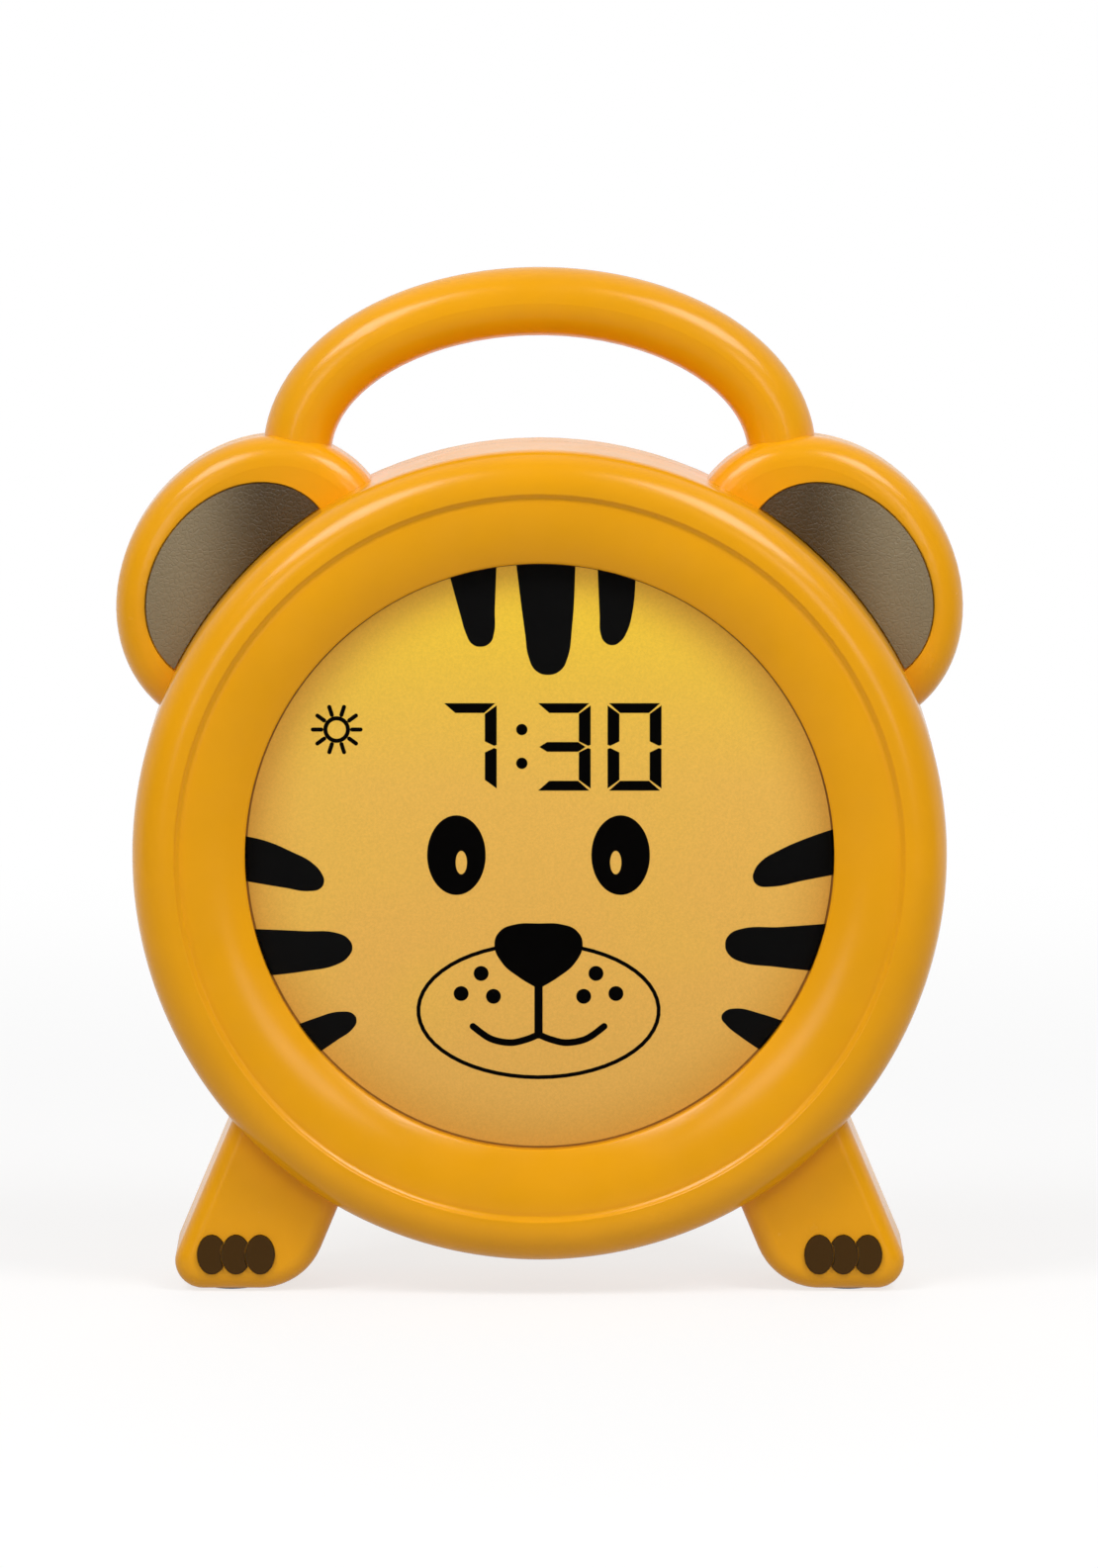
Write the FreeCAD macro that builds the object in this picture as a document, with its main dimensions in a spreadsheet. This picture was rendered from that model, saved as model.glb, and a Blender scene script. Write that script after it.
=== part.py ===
import FreeCAD, Part
import math
import operator
import os
import Sketcher

# Kids alarm clock with night light, in millimetres.
# The display faces -Y, +Z is up and the origin lies on the table under the middle of the clock.
# Every body is drawn in a frame on the drum's axis, so its heights count from that axis.
# "Forward" is the distance in front of the plane where the two case halves meet.

SIZES = [
    ("drum_height", 86.2, "height of the drum axis above the table"),
    ("drum_radius", 79.4, "outer radius of the drum"),
    ("front_depth", 27.2, "parting plane to the crest of the face ring"),
    ("wall", 2.2, "wall of the moulded case"),
    ("gap", 0.3, "clearance between neighbouring pieces"),
    ("ring_thickness", 7.4, "crest of the face ring to its seat on the case"),
    ("seat_width", 12.9, "radial width of the seat behind the face ring"),
    ("roll_radius", 7.2, "radius of the rounded outer edge of the face ring"),
    ("crest_width", 1.2, "width of the crest of the face ring"),
    ("groove_width", 0.9, "width of the fine groove inside the crest"),
    ("groove_depth", 1.1, "depth of the fine groove below the crest"),
    ("bevel_drop", 0.9, "drop from the crest to the upper edge of the inner bevel"),
    ("bevel_curve", 22.0, "radius of the slightly domed inner bevel"),
    ("rim_lip", 0.7, "edge of the face ring that stands above the window"),
    ("screen_radius", 57.4, "radius of the visible display"),
    ("lens_overlap", 4.1, "how far the window reaches under the face ring"),
    ("lens_thickness", 2.4, "thickness of the front window"),
    ("film_thickness", 0.6, "thickness of the printed film"),
    ("ear_sunk", 3.7, "how far an ear's centre lies inside the drum's edge"),
    ("ear_turn", 46.93, "angle of an ear's centre from straight up"),
    ("ear_long", 30.6, "long half axis of the ear"),
    ("ear_short", 25.9, "short half axis of the ear"),
    ("ear_tilt", 54.8, "slope of the long axis of the ear, degrees"),
    ("ear_depth", 9.5, "parting plane to the face of the ear"),
    ("ear_edge", 5.5, "rounding of the rim of the ear"),
    ("inlay_aside", 2.9, "ear inlay centre beyond the centre of the ear"),
    ("inlay_rise", 0.4, "ear inlay centre above the centre of the ear"),
    ("rim_long", 9.2, "rim of the ear at the ends of the inlay"),
    ("rim_short", 8.8, "rim of the ear at the sides of the inlay"),
    ("inlay_tilt", 52.9, "slope of the long axis of the ear inlay, degrees"),
    ("inlay_recess", 1.0, "depth of the recess that holds the ear inlay"),
    ("inlay_dome", 2.0, "height of the domed ear inlay above the ear"),
    ("inlay_crest", 1.08, "place of the dome's crest, as a multiple of the inlay's own"),
    ("inlay_curve", 110.0, "radius of the domed face of the ear inlay"),
    ("handle_out", 47.4, "half span of the handle's centre line"),
    ("handle_rise", 29.8, "rise of the handle's centre line"),
    ("handle_up", 77.0, "springing of the handle above the drum axis"),
    ("handle_root", 15.0, "straight root of the handle inside the ear"),
    ("handle_thick", 13.4, "thickness of the handle"),
    ("foot_inner", 46.2, "inner lower corner of the leg to the middle"),
    ("foot_outer", 74.1, "outer lower corner of the leg to the middle"),
    ("leg_rise", 45.0, "height of the leg above its sole, up to inside the drum"),
    ("leg_lean", 22.8, "lean of the leg, degrees from upright"),
    ("leg_depth", 17.6, "parting plane to the face of the leg"),
    ("leg_edge", 3.6, "rounding of the front and rear edges of the leg"),
    ("toe_corner", 5.4, "rounding of the outer lower corner of the leg"),
    ("heel_corner", 13.0, "rounding of the inner lower corner of the leg"),
    ("rubber_radius", 4.2, "radius of the rubber foot"),
    ("rubber_proud", 0.4, "how far the rubber foot stands below the leg"),
    ("rubber_sunk", 1.0, "depth of the recess for the rubber foot"),
    ("rubber_back", 8.6, "rubber foot centre to the parting plane"),
    ("toe_long", 7.6, "height of a toe"),
    ("toe_wide", 5.5, "width of a toe"),
    ("toe_pitch", 4.75, "distance from toe to toe"),
    ("toe_up", 7.4, "toe centre above the table"),
    ("toe_middle", 59.4, "middle toe to the middle of the clock"),
    ("toe_sunk", 0.8, "depth of the recess for a toe"),
    ("toe_proud", 0.7, "how far a toe stands out of the leg"),
    ("toe_seam", 0.4, "strip of leg that shows between the toes"),
    ("dome_start", 8.0, "length of the straight drum wall behind the parting plane"),
    ("button_radius", 4.2, "radius of a push button"),
    ("button_proud", 1.6, "how far a push button stands out of the back"),
    ("button_flange", 1.2, "width of the flange that keeps a button in"),
    ("button_travel", 0.6, "travel of a push button"),
    ("button_pitch", 14.0, "distance between push buttons"),
    ("button_left", 10.0, "first column of buttons to the middle"),
    ("button_low", 21.0, "lower row of buttons above the drum axis"),
    ("stem_radius", 1.6, "radius of the stem of a button"),
    ("switch_side", 6.0, "side of a tact switch"),
    ("switch_tall", 3.6, "height of a tact switch"),
    ("board_thickness", 1.6, "thickness of the circuit boards"),
    ("button_board_deep", 7.4, "inside of the rear wall to the button board"),
    ("board_margin", 5.4, "edge of the button board beyond its switches"),
    ("slide_up", 7.6, "slide switch above the drum axis"),
    ("slide_travel", 4.0, "travel of the slide switch"),
    ("knob_length", 6.0, "length of the slide knob"),
    ("knob_width", 3.6, "width of the slide knob"),
    ("knob_proud", 1.2, "how far the slide knob stands out of the back"),
    ("knob_flange", 1.0, "thickness of the slide knob's flange"),
    ("knob_post", 1.0, "half width of the post under the slide knob"),
    ("speaker_out", 27.0, "speaker centre to the middle of the clock"),
    ("speaker_up", 27.0, "speaker centre above the drum axis"),
    ("speaker_radius", 18.0, "radius of the speaker"),
    ("speaker_deep", 13.0, "depth of the speaker"),
    ("speaker_rim", 2.0, "thickness of the rim of the speaker"),
    ("speaker_flange", 2.6, "width of the flat rim of the speaker"),
    ("basket_metal", 0.8, "sheet thickness of the speaker's basket"),
    ("cone_paper", 0.5, "thickness of the speaker's cone"),
    ("cone_depth", 4.9, "depth of the speaker's cone"),
    ("cap_radius", 4.0, "radius of the dust cap"),
    ("cap_rise", 1.0, "rise of the dust cap"),
    ("speaker_grip", 2.0, "edge of the speaker to the middle of its screws"),
    ("speaker_post", 1.1, "wall of the posts beside the speaker"),
    ("magnet_radius", 10.0, "radius of the speaker's magnet"),
    ("magnet_thickness", 4.4, "thickness of the speaker's magnet"),
    ("rib_thickness", 1.4, "thickness of the rib round the speaker"),
    ("grille_hole", 1.3, "radius of a sound hole"),
    ("grille_pitch", 4.0, "distance between rings of sound holes"),
    ("socket_out", 47.0, "power socket to the middle of the clock"),
    ("socket_up", 2.0, "power socket above the drum axis"),
    ("socket_radius", 4.0, "radius of the power socket's barrel"),
    ("socket_flange", 1.0, "thickness of the power socket's flange"),
    ("socket_rim", 5.6, "radius of the power socket's flange"),
    ("socket_bore", 2.75, "radius of the hole for the plug"),
    ("socket_pin", 1.05, "radius of the power socket's centre pin"),
    ("socket_deep", 8.0, "length of the barrel inside the case"),
    ("nut_reach", 6.4, "middle of the nut to its corners"),
    ("nut_thickness", 2.0, "thickness of the nut"),
    ("cell_radius", 7.25, "radius of an AA cell"),
    ("cell_length", 49.4, "length of an AA cell without its cap"),
    ("cell_cap", 1.1, "height of the cap of an AA cell"),
    ("cell_cap_radius", 2.75, "radius of the cap of an AA cell"),
    ("cell_pitch", 15.0, "distance between cells"),
    ("bay_top", -3.0, "upper end of the battery bay, from the drum axis"),
    ("spring_length", 5.4, "length of a fitted battery spring"),
    ("spring_wide", 4.5, "radius of a battery spring at its base"),
    ("spring_narrow", 2.5, "radius of a battery spring at its tip"),
    ("plate_thickness", 0.4, "thickness of a contact plate"),
    ("plate_half", 5.4, "half the side of a contact plate"),
    ("door_thickness", 2.0, "thickness of the battery door"),
    ("door_margin", 1.6, "how far the battery door reaches past the bay"),
    ("door_corner", 4.0, "rounding of the corners of the battery door"),
    ("door_tab", 8.0, "height of the door's screw tab above the bay"),
    ("door_tab_half", 7.0, "half width of the door's screw tab"),
    ("door_post", 6.0, "depth of the post behind the door's screw tab"),
    ("door_screw_in", 4.9, "door screw below the end of the tab"),
    ("tongue_thickness", 0.9, "thickness of the tongues of the battery door"),
    ("tongue_length", 1.8, "reach of the tongues under the case"),
    ("tongue_half", 3.5, "half width of a tongue"),
    ("tongue_room", 1.0, "room for a tongue to swing inward"),
    ("lcd_thickness", 2.2, "thickness of the display glass"),
    ("lcd_inset", 6.1, "flats of the display glass to the inside of the case's front opening"),
    ("guide_thickness", 3.2, "thickness of the light guide"),
    ("guide_flat", 40.0, "half length of the light guide's flat"),
    ("frame_wall", 6.5, "wall of the display frame round the light guide"),
    ("frame_floor", 1.6, "floor of the display frame"),
    ("screw_radius", 1.4, "radius of a screw's shank"),
    ("screw_head", 2.8, "radius of a screw's head"),
    ("head_height", 1.8, "height of a screw's head"),
    ("head_bevel", 0.85, "bevel round a screw's head"),
    ("slot_half", 0.35, "half width of the cross slot in a screw's head"),
    ("slot_reach", 1.7, "reach of the cross slot"),
    ("slot_deep", 0.9, "depth of the cross slot"),
    ("screw_sunk", 1.0, "how far a case screw's head lies below the case"),
    ("tip_room", 1.0, "room past the tip of a screw"),
    ("boss_wall", 1.8, "wall of a screw boss"),
    ("thread_fit", 0.05, "clearance between a screw and its thread"),
    ("zebra_half", 20.0, "half length of the rubber connector"),
    ("zebra_width", 2.4, "width of the rubber connector"),
    ("zebra_margin", 0.3, "rubber connector to the edge of the glass"),
    ("lamp_side", 3.0, "depth and height of a lamp"),
    ("lamp_half", 2.5, "half width of a lamp"),
    ("lug_half", 4.5, "half width of a lug of the display frame"),
    ("lug_thickness", 3.0, "thickness of a lug of the display frame"),
]

FACING = "XZ_Plane"
SIDEWAYS = "YZ_Plane"
LEVEL = "XY_Plane"
SIDES = {"left": -1, "right": 1}
TOES = (-1, 0, 1)
FRAME_SCREWS = 4
LAMPS = 6
NEAR = 0.01
# Shares: of a corner's rounding that is lost to the flat sole, of the leg's height, of the bay
TOE_SHARE = 1.5
HEEL_SHARE = 0.66
LEG_SCREW_SHARE = 0.4
TONGUE_SHARE = 0.55
BOARD_SCREW_ANGLES = (30, 150, 210, 330)
SPEAKER_SCREW_ANGLES = (100, 220, 340)
CAPACITOR_RADIUS = 3.0
CAPACITOR_HEIGHT = 6.5
BOARD_CAPACITORS = [(-34, 6), (-34, -4)]
# Height, left, low, width and tallness of each chip on the main board
BOARD_CHIPS = [
    (1.6, -8, -8, 16, 16),
    (1.4, 18, -6, 8, 10),
    (2.6, -4, 18, 10, 4),
    (4.5, 14, -30, 12, 6),
    (4.5, -28, -30, 12, 6),
]
BUTTON_NAMES = [
    ["light_button", "alarm_button", "clock_button"],
    ["snooze_button", "up_button", "down_button"],
]


# Sizes that carry their formula

OPERATIONS = {
    "+": operator.add,
    "-": operator.sub,
    "*": operator.mul,
    "/": operator.truediv,
}


class Size:
    """A number together with the formula that gives it from the sheet."""

    def __init__(self, number, formula):
        self.number = float(number)
        self.formula = formula

    def __add__(self, other):
        return joined(self, "+", other)

    def __radd__(self, other):
        return joined(other, "+", self)

    def __sub__(self, other):
        return joined(self, "-", other)

    def __rsub__(self, other):
        return joined(other, "-", self)

    def __mul__(self, other):
        return joined(self, "*", other)

    def __rmul__(self, other):
        return joined(other, "*", self)

    def __truediv__(self, other):
        return joined(self, "/", other)

    def __rtruediv__(self, other):
        return joined(other, "/", self)

    def __neg__(self):
        return joined(0, "-", self)


def as_size(value):
    if isinstance(value, Size):
        return value
    return Size(value, f"({value:.9g})")


def number(value):
    return as_size(value).number


def joined(left, sign, right):
    left = as_size(left)
    right = as_size(right)
    value = OPERATIONS[sign](left.number, right.number)
    return Size(value, f"({left.formula} {sign} {right.formula})")


def root(value):
    return Size(math.sqrt(value.number), f"sqrt({value.formula})")


def cosine(angle):
    angle = as_size(angle)
    return Size(math.cos(math.radians(angle.number)), f"cos({angle.formula})")


def sine(angle):
    angle = as_size(angle)
    return Size(math.sin(math.radians(angle.number)), f"sin({angle.formula})")


class Sheet:
    """The driving dimensions, readable as attributes."""

    def __init__(self, doc):
        self.cells = doc.addObject("Spreadsheet::Sheet", "dims")
        for row, (name, value, meaning) in enumerate(SIZES, start=1):
            self.cells.set(f"A{row}", name)
            self.cells.set(f"B{row}", str(value))
            self.cells.set(f"C{row}", meaning)
            self.cells.setAlias(f"B{row}", name)
        doc.recompute()

    def __getattr__(self, name):
        return Size(self.cells.get(name), f"dims.{name}")


def bind(item, path, value):
    item.setExpression(path, as_size(value).formula)


# Sketches

def new_sketch(body, plane, away=0):
    """A sketch on one of the body's own planes, moved along the plane's normal."""
    sketch = body.newObject("Sketcher::SketchObject", f"{body.Name}_sketch")
    base = [item for item in body.Origin.OriginFeatures if item.Role == plane][0]
    sketch.AttachmentSupport = [(base, "")]
    sketch.MapMode = "FlatFace"
    bind(sketch, "AttachmentOffset.Base.z", away)
    return sketch


def constrain(sketch, value, *parts):
    """A dimension that follows its formula."""
    place = sketch.addConstraint(Sketcher.Constraint(*parts, number(value)))
    bind(sketch, f"Constraints[{place}]", value)


def pin(sketch, piece, point, x, y):
    constrain(sketch, x, "DistanceX", -1, 1, piece, point)
    constrain(sketch, y, "DistanceY", -1, 1, piece, point)


def vector(x, y):
    return FreeCAD.Vector(number(x), number(y), 0)


def arc_between(start, end, turn):
    """The short arc between two points; a positive radius turns left on the way."""
    chord = end - start
    reach = chord.Length / 2
    bulge = abs(turn) - math.sqrt(turn * turn - reach * reach)
    side = FreeCAD.Vector(chord.y, -chord.x, 0).normalize()
    middle = (start + end) / 2 + side * math.copysign(bulge, turn)
    return Part.Arc(start, middle, end)


def draw_outline(sketch, corners):
    """A closed outline; a corner's third value is the radius of the stretch that leads to it."""
    points = [vector(corner[0], corner[1]) for corner in corners]
    pieces = []
    for place, corner in enumerate(corners):
        start = points[place - 1]
        end = points[place]
        if len(corner) == 3:
            shape = arc_between(start, end, number(corner[2]))
        else:
            shape = Part.LineSegment(start, end)
        piece = sketch.addGeometry(shape)
        swapped = sketch.getPoint(piece, 1).distanceToPoint(start) > 1e-6
        pieces.append((piece, 2, 1) if swapped else (piece, 1, 2))
    for place, corner in enumerate(corners):
        piece, first, last = pieces[place]
        following, beginning, _ = pieces[(place + 1) % len(pieces)]
        sketch.addConstraint(Sketcher.Constraint("Coincident", piece, last, following, beginning))
        pin(sketch, piece, last, corner[0], corner[1])
        if len(corner) == 3:
            radius = corner[2] if number(corner[2]) > 0 else -corner[2]
            constrain(sketch, radius, "Radius", piece)


def draw_box(sketch, left, low, right, high):
    draw_outline(sketch, [(left, low), (right, low), (right, high), (left, high)])


def draw_circle(sketch, x, y, radius):
    circle = Part.Circle(vector(x, y), FreeCAD.Vector(0, 0, 1), number(radius))
    piece = sketch.addGeometry(circle)
    pin(sketch, piece, 3, x, y)
    constrain(sketch, radius, "Radius", piece)


def draw_ellipse(sketch, x, y, long, short, tilt):
    """An ellipse by its centre, half axes and the slope of its long axis."""
    tip_x = x + long * cosine(tilt)
    tip_y = y + long * sine(tilt)
    side_x = x - short * sine(tilt)
    side_y = y + short * cosine(tilt)
    piece = sketch.addGeometry(Part.Ellipse(vector(tip_x, tip_y), vector(side_x, side_y), vector(x, y)))
    sketch.exposeInternalGeometry(piece)
    long_axis = piece + 1
    short_axis = piece + 2
    swapped = sketch.getPoint(long_axis, 1).distanceToPoint(vector(tip_x, tip_y)) > 1e-3
    pin(sketch, piece, 3, x, y)
    pin(sketch, long_axis, 2 if swapped else 1, tip_x, tip_y)
    constrain(sketch, short * 2, "Distance", short_axis)


# Features

def new_body(doc, name, d):
    body = doc.addObject("PartDesign::Body", name)
    body.Label = name
    bind(body, "Placement.Base.z", d.drum_height)
    return body


def add_feature(body, kind, sketch, **settings):
    feature = body.newObject(f"PartDesign::{kind}", f"{body.Name}_{kind}")
    feature.Profile = sketch
    for name, value in settings.items():
        setattr(feature, name, value)
    sketch.Visibility = False
    return feature


def pad(body, sketch, length, back=False):
    """Material along the sketch plane's normal, or backwards from it."""
    feature = add_feature(body, "Pad", sketch, Reversed=back)
    bind(feature, "Length", length)
    return feature


def pocket(body, sketch, length, along=False):
    """A cut against the sketch plane's normal, or along it."""
    feature = add_feature(body, "Pocket", sketch, Reversed=along)
    bind(feature, "Length", length)
    return feature


def turn(body, corners, kind="Revolution", out=0, up=0):
    """A profile of forward distances and radii, turned round a fore and aft axis."""
    sketch = new_sketch(body, SIDEWAYS, out)
    bind(sketch, "AttachmentOffset.Base.y", up)
    draw_outline(sketch, [(-as_size(corner[0]),) + tuple(corner[1:]) for corner in corners])
    return add_feature(body, kind, sketch, ReferenceAxis=(sketch, ["H_Axis"]), Angle=360)


def sleeve(body, back, front, inner, outer, **settings):
    return turn(body, [(back, inner), (front, inner), (front, outer), (back, outer)], **settings)


def round_edges(doc, body, radius, wanted):
    """Rounds the edges of the body's last feature that the test picks."""
    doc.recompute()
    base = body.Tip
    names = []
    for place, edge in enumerate(base.Shape.Edges, start=1):
        if wanted(edge.BoundBox):
            names.append(f"Edge{place}")
    feature = body.newObject("PartDesign::Fillet", f"{body.Name}_rounding")
    feature.Base = (base, names)
    bind(feature, "Radius", radius)
    return feature


def repeat_round(body, features, count):
    """Copies features round the drum's axis."""
    pattern = body.newObject("PartDesign::PolarPattern", f"{body.Name}_pattern")
    pattern.Originals = features
    axis = [item for item in body.Origin.OriginFeatures if item.Role == "Y_Axis"][0]
    pattern.Axis = (axis, [""])
    pattern.Angle = 360
    pattern.Occurrences = count
    body.Tip = pattern
    return pattern


def drill(body, spots, radius, start, length, along=False):
    """Round holes from a plane at the given forward distance."""
    sketch = new_sketch(body, FACING, start)
    for x, y in spots:
        draw_circle(sketch, x, y, radius)
    return pocket(body, sketch, length, along)


def posts(body, spots, radius, start, length, back=False):
    sketch = new_sketch(body, FACING, start)
    for x, y in spots:
        draw_circle(sketch, x, y, radius)
    return pad(body, sketch, length, back)


def block(body, start, length, left, low, right, high, back=False):
    sketch = new_sketch(body, FACING, start)
    draw_box(sketch, left, low, right, high)
    return pad(body, sketch, length, back)


def hollow(body, start, length, left, low, right, high, along=False):
    sketch = new_sketch(body, FACING, start)
    draw_box(sketch, left, low, right, high)
    return pocket(body, sketch, length, along)


def screw(body, d, seat, length, out, up):
    """A pan head screw with its head behind the seat and its shank in front."""
    return turn(body, [
        (seat + length, 0),
        (seat + length, d.screw_radius),
        (seat, d.screw_radius),
        (seat, d.screw_head),
        (seat - d.head_height + d.head_bevel, d.screw_head),
        (seat - d.head_height, d.screw_head - d.head_bevel),
        (seat - d.head_height, 0),
    ], out=out, up=up)


def cross_slot(body, d, face, out, up):
    """The cross slot in a screw's head whose face looks to the back."""
    for wide, tall in ((d.slot_reach, d.slot_half), (d.slot_half, d.slot_reach)):
        hollow(body, face, d.slot_deep, out - wide, up - tall, out + wide, up + tall, True)


# Places that several pieces share

def screen_front(d):
    """Forward place of the window's front."""
    return ring_seat(d) + d.lens_thickness + d.film_thickness


def rear_face(d):
    """Forward place of the flat of the back, behind the parting plane."""
    return d.button_proud - d.front_depth


def rear_inside(d):
    """Forward place of the inside of the rear wall."""
    return rear_face(d) + d.wall


def sole(d):
    """Height of the leg's sole, from the drum axis."""
    return d.rubber_proud - d.drum_height


def ring_seat(d):
    """Forward place of the face ring's seat on the case."""
    return d.front_depth - d.ring_thickness


def ear_out(d):
    return (d.drum_radius - d.ear_sunk) * sine(d.ear_turn)


def ear_up(d):
    return (d.drum_radius - d.ear_sunk) * cosine(d.ear_turn)


def inlay_out(d):
    return ear_out(d) + d.inlay_aside


def inlay_up(d):
    return ear_up(d) + d.inlay_rise


def inlay_long(d):
    return d.ear_long - d.rim_long


def inlay_short(d):
    return d.ear_short - d.rim_short


def guide_radius(d):
    return seat_inner(d) - d.gap * 2 - d.frame_wall


def lcd_half(d):
    """Middle of the display glass to each of its flats."""
    return seat_inner(d) - d.lcd_inset


def seat_inner(d):
    """Inner radius of the seat behind the face ring."""
    return d.drum_radius - d.seat_width


def frame_screw_out(d):
    """Circle of the screws that hold the display frame and the face ring."""
    return d.drum_radius - d.wall - d.gap * 2 - d.screw_head


def board_screw_spots(d):
    """Screws of the main board, in the wall of the display frame."""
    reach = (seat_inner(d) + guide_radius(d)) / 2
    return [
        (reach * cosine(angle), reach * sine(angle))
        for angle in BOARD_SCREW_ANGLES
    ]


def rubber_out(d):
    """Middle of the flat part of the sole."""
    outer = d.foot_outer - d.toe_corner * TOE_SHARE
    inner = d.foot_inner + d.heel_corner * HEEL_SHARE
    return (outer + inner) / 2


def case_screw_spots(d):
    """Where the case screws sit: two in the ears, two in the legs."""
    lean = sine(d.leg_lean) / cosine(d.leg_lean)
    leg_up = d.leg_rise * LEG_SCREW_SHARE
    leg_out = (d.foot_inner + d.foot_outer) / 2 - leg_up * lean
    spots = []
    for side in SIDES.values():
        spots.append((inlay_out(d) * d.inlay_crest * side, inlay_up(d) * d.inlay_crest))
        spots.append((leg_out * side, sole(d) + leg_up))
    return spots


def case_screw_seat(d):
    """Forward place of the seat under the heads of the case screws."""
    return d.head_height + d.screw_sunk - d.ear_depth


def case_screw_grip(d):
    """How far a case screw reaches into the front shell."""
    return d.ear_depth - d.inlay_recess - d.wall - d.tip_room


def button_spots(d):
    """Places and names of the push buttons on the back."""
    spots = []
    for row, names in enumerate(BUTTON_NAMES):
        for column, name in enumerate(names):
            x = d.button_left + d.button_pitch * column
            y = d.button_low + d.button_pitch * row
            spots.append((name, x, y))
    return spots


def board_back(d):
    """Forward place of the rear side of the button board."""
    return rear_inside(d) + d.button_board_deep


def slide_out(d):
    """Slide switch below the middle column of buttons."""
    return d.button_left + d.button_pitch


def button_board_spots(d):
    """Bosses of the button board, between its buttons."""
    between = d.button_low + d.button_pitch / 2
    return [
        (d.button_left + d.button_pitch / 2, between),
        (d.button_left + d.button_pitch * 1.5, between),
        (d.button_left, d.slide_up),
    ]


def speaker_spots(d):
    """Three screws round the rim of the speaker."""
    reach = d.speaker_radius + d.gap + d.speaker_grip
    return [
        (reach * cosine(angle) - d.speaker_out, reach * sine(angle) + d.speaker_up)
        for angle in SPEAKER_SCREW_ANGLES
    ]


def bay_half(d):
    """Half the inner width of the battery bay."""
    row = d.cell_length + d.cell_cap + d.spring_length + d.plate_thickness * 2
    return row / 2 + d.gap


def bay_bottom(d):
    return d.bay_top - d.cell_pitch * 2 - d.cell_radius * 2 - d.gap * 2


def door_inside(d):
    """Forward place of the inner side of the battery door."""
    return rear_face(d) + d.door_thickness


def bay_floor(d):
    """Forward place of the bottom of the battery bay."""
    return door_inside(d) + d.cell_radius * 2 + d.gap * 2


def door_screw_up(d):
    """Height of the door screw, in the tab above the bay."""
    return d.bay_top + d.door_tab - d.door_screw_in


def tongue_spots(d):
    """Middles of the two tongues on the lower edge of the battery door."""
    return [-bay_half(d) * TONGUE_SHARE, bay_half(d) * TONGUE_SHARE]


# Case

def ear_outline(sketch, d, side, inset):
    draw_ellipse(
        sketch,
        ear_out(d) * side,
        ear_up(d),
        d.ear_long - inset,
        d.ear_short - inset,
        d.ear_tilt * -side,
    )


def inlay_outline(sketch, d, side, clearance):
    draw_ellipse(
        sketch,
        inlay_out(d) * side,
        inlay_up(d),
        inlay_long(d) + clearance,
        inlay_short(d) + clearance,
        d.inlay_tilt * -side,
    )


def leg_outline(sketch, d, side, inset):
    """A slanted leg with parallel edges; the inset leaves the wall."""
    slant = inset / cosine(d.leg_lean)
    lean = sine(d.leg_lean) / cosine(d.leg_lean)
    inner = d.foot_inner + slant
    outer = d.foot_outer - slant
    low = sole(d) + inset
    high = sole(d) + d.leg_rise
    draw_outline(sketch, [
        (side * (inner - lean * inset), low),
        (side * (outer - lean * inset), low),
        (side * (outer - lean * d.leg_rise), high),
        (side * (inner - lean * d.leg_rise), high),
    ])


def handle_path(body, d):
    """Centre line of the handle: root, half ellipse, root."""
    sketch = new_sketch(body, FACING)
    centre = FreeCAD.Vector(0, d.handle_up.number, 0)
    ellipse = Part.Ellipse(centre, d.handle_out.number, d.handle_rise.number)
    arch = sketch.addGeometry(Part.ArcOfEllipse(ellipse, 0, math.pi))
    sketch.exposeInternalGeometry(arch)
    pin(sketch, arch, 3, 0, d.handle_up)
    long_axis = arch + 1
    short_axis = arch + 2
    constrain(sketch, d.handle_out * 2, "Distance", long_axis)
    constrain(sketch, d.handle_rise * 2, "Distance", short_axis)
    sketch.addConstraint(Sketcher.Constraint("Horizontal", long_axis))
    for side in SIDES.values():
        top = vector(d.handle_out * side, d.handle_up)
        foot = vector(d.handle_out * side, d.handle_up - d.handle_root)
        line = sketch.addGeometry(Part.LineSegment(top, foot))
        end = 1 if side > 0 else 2
        sketch.addConstraint(Sketcher.Constraint("Coincident", line, 1, arch, end))
        constrain(sketch, d.handle_up, "DistanceY", -1, 1, line, 1)
        pin(sketch, line, 2, d.handle_out * side, d.handle_up - d.handle_root)
    return sketch


def handle_tube(body, d, path, radius, facing, kind):
    """Half a round tube along the handle; facing is 1 in front and -1 behind."""
    section = new_sketch(body, LEVEL, d.handle_up - d.handle_root)
    turning = radius * facing
    draw_outline(section, [
        (d.handle_out - radius, 0),
        (d.handle_out, -turning, turning),
        (d.handle_out + radius, 0, turning),
    ])
    feature = body.newObject(f"PartDesign::{kind}", f"{body.Name}_{kind}")
    feature.Profile = section
    feature.Spine = (path, [])
    return feature


def round_leg(doc, body, d, facing):
    """Rounds the lower corners of the legs, then the edge of their face."""
    low = sole(d).number
    face = -facing * d.leg_depth.number

    def corner_at(out):
        def wanted(box):
            level = abs(box.ZMin - low) < NEAR and abs(box.ZMax - low) < NEAR
            return level and abs(abs(box.XMin) - out) < NEAR and abs(abs(box.XMax) - out) < NEAR
        return wanted

    def on_face(box):
        return abs(box.YMin - face) < NEAR and abs(box.YMax - face) < NEAR

    round_edges(doc, body, d.toe_corner, corner_at(d.foot_outer.number))
    round_edges(doc, body, d.heel_corner, corner_at(d.foot_inner.number))
    round_edges(doc, body, d.leg_edge, on_face)


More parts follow.
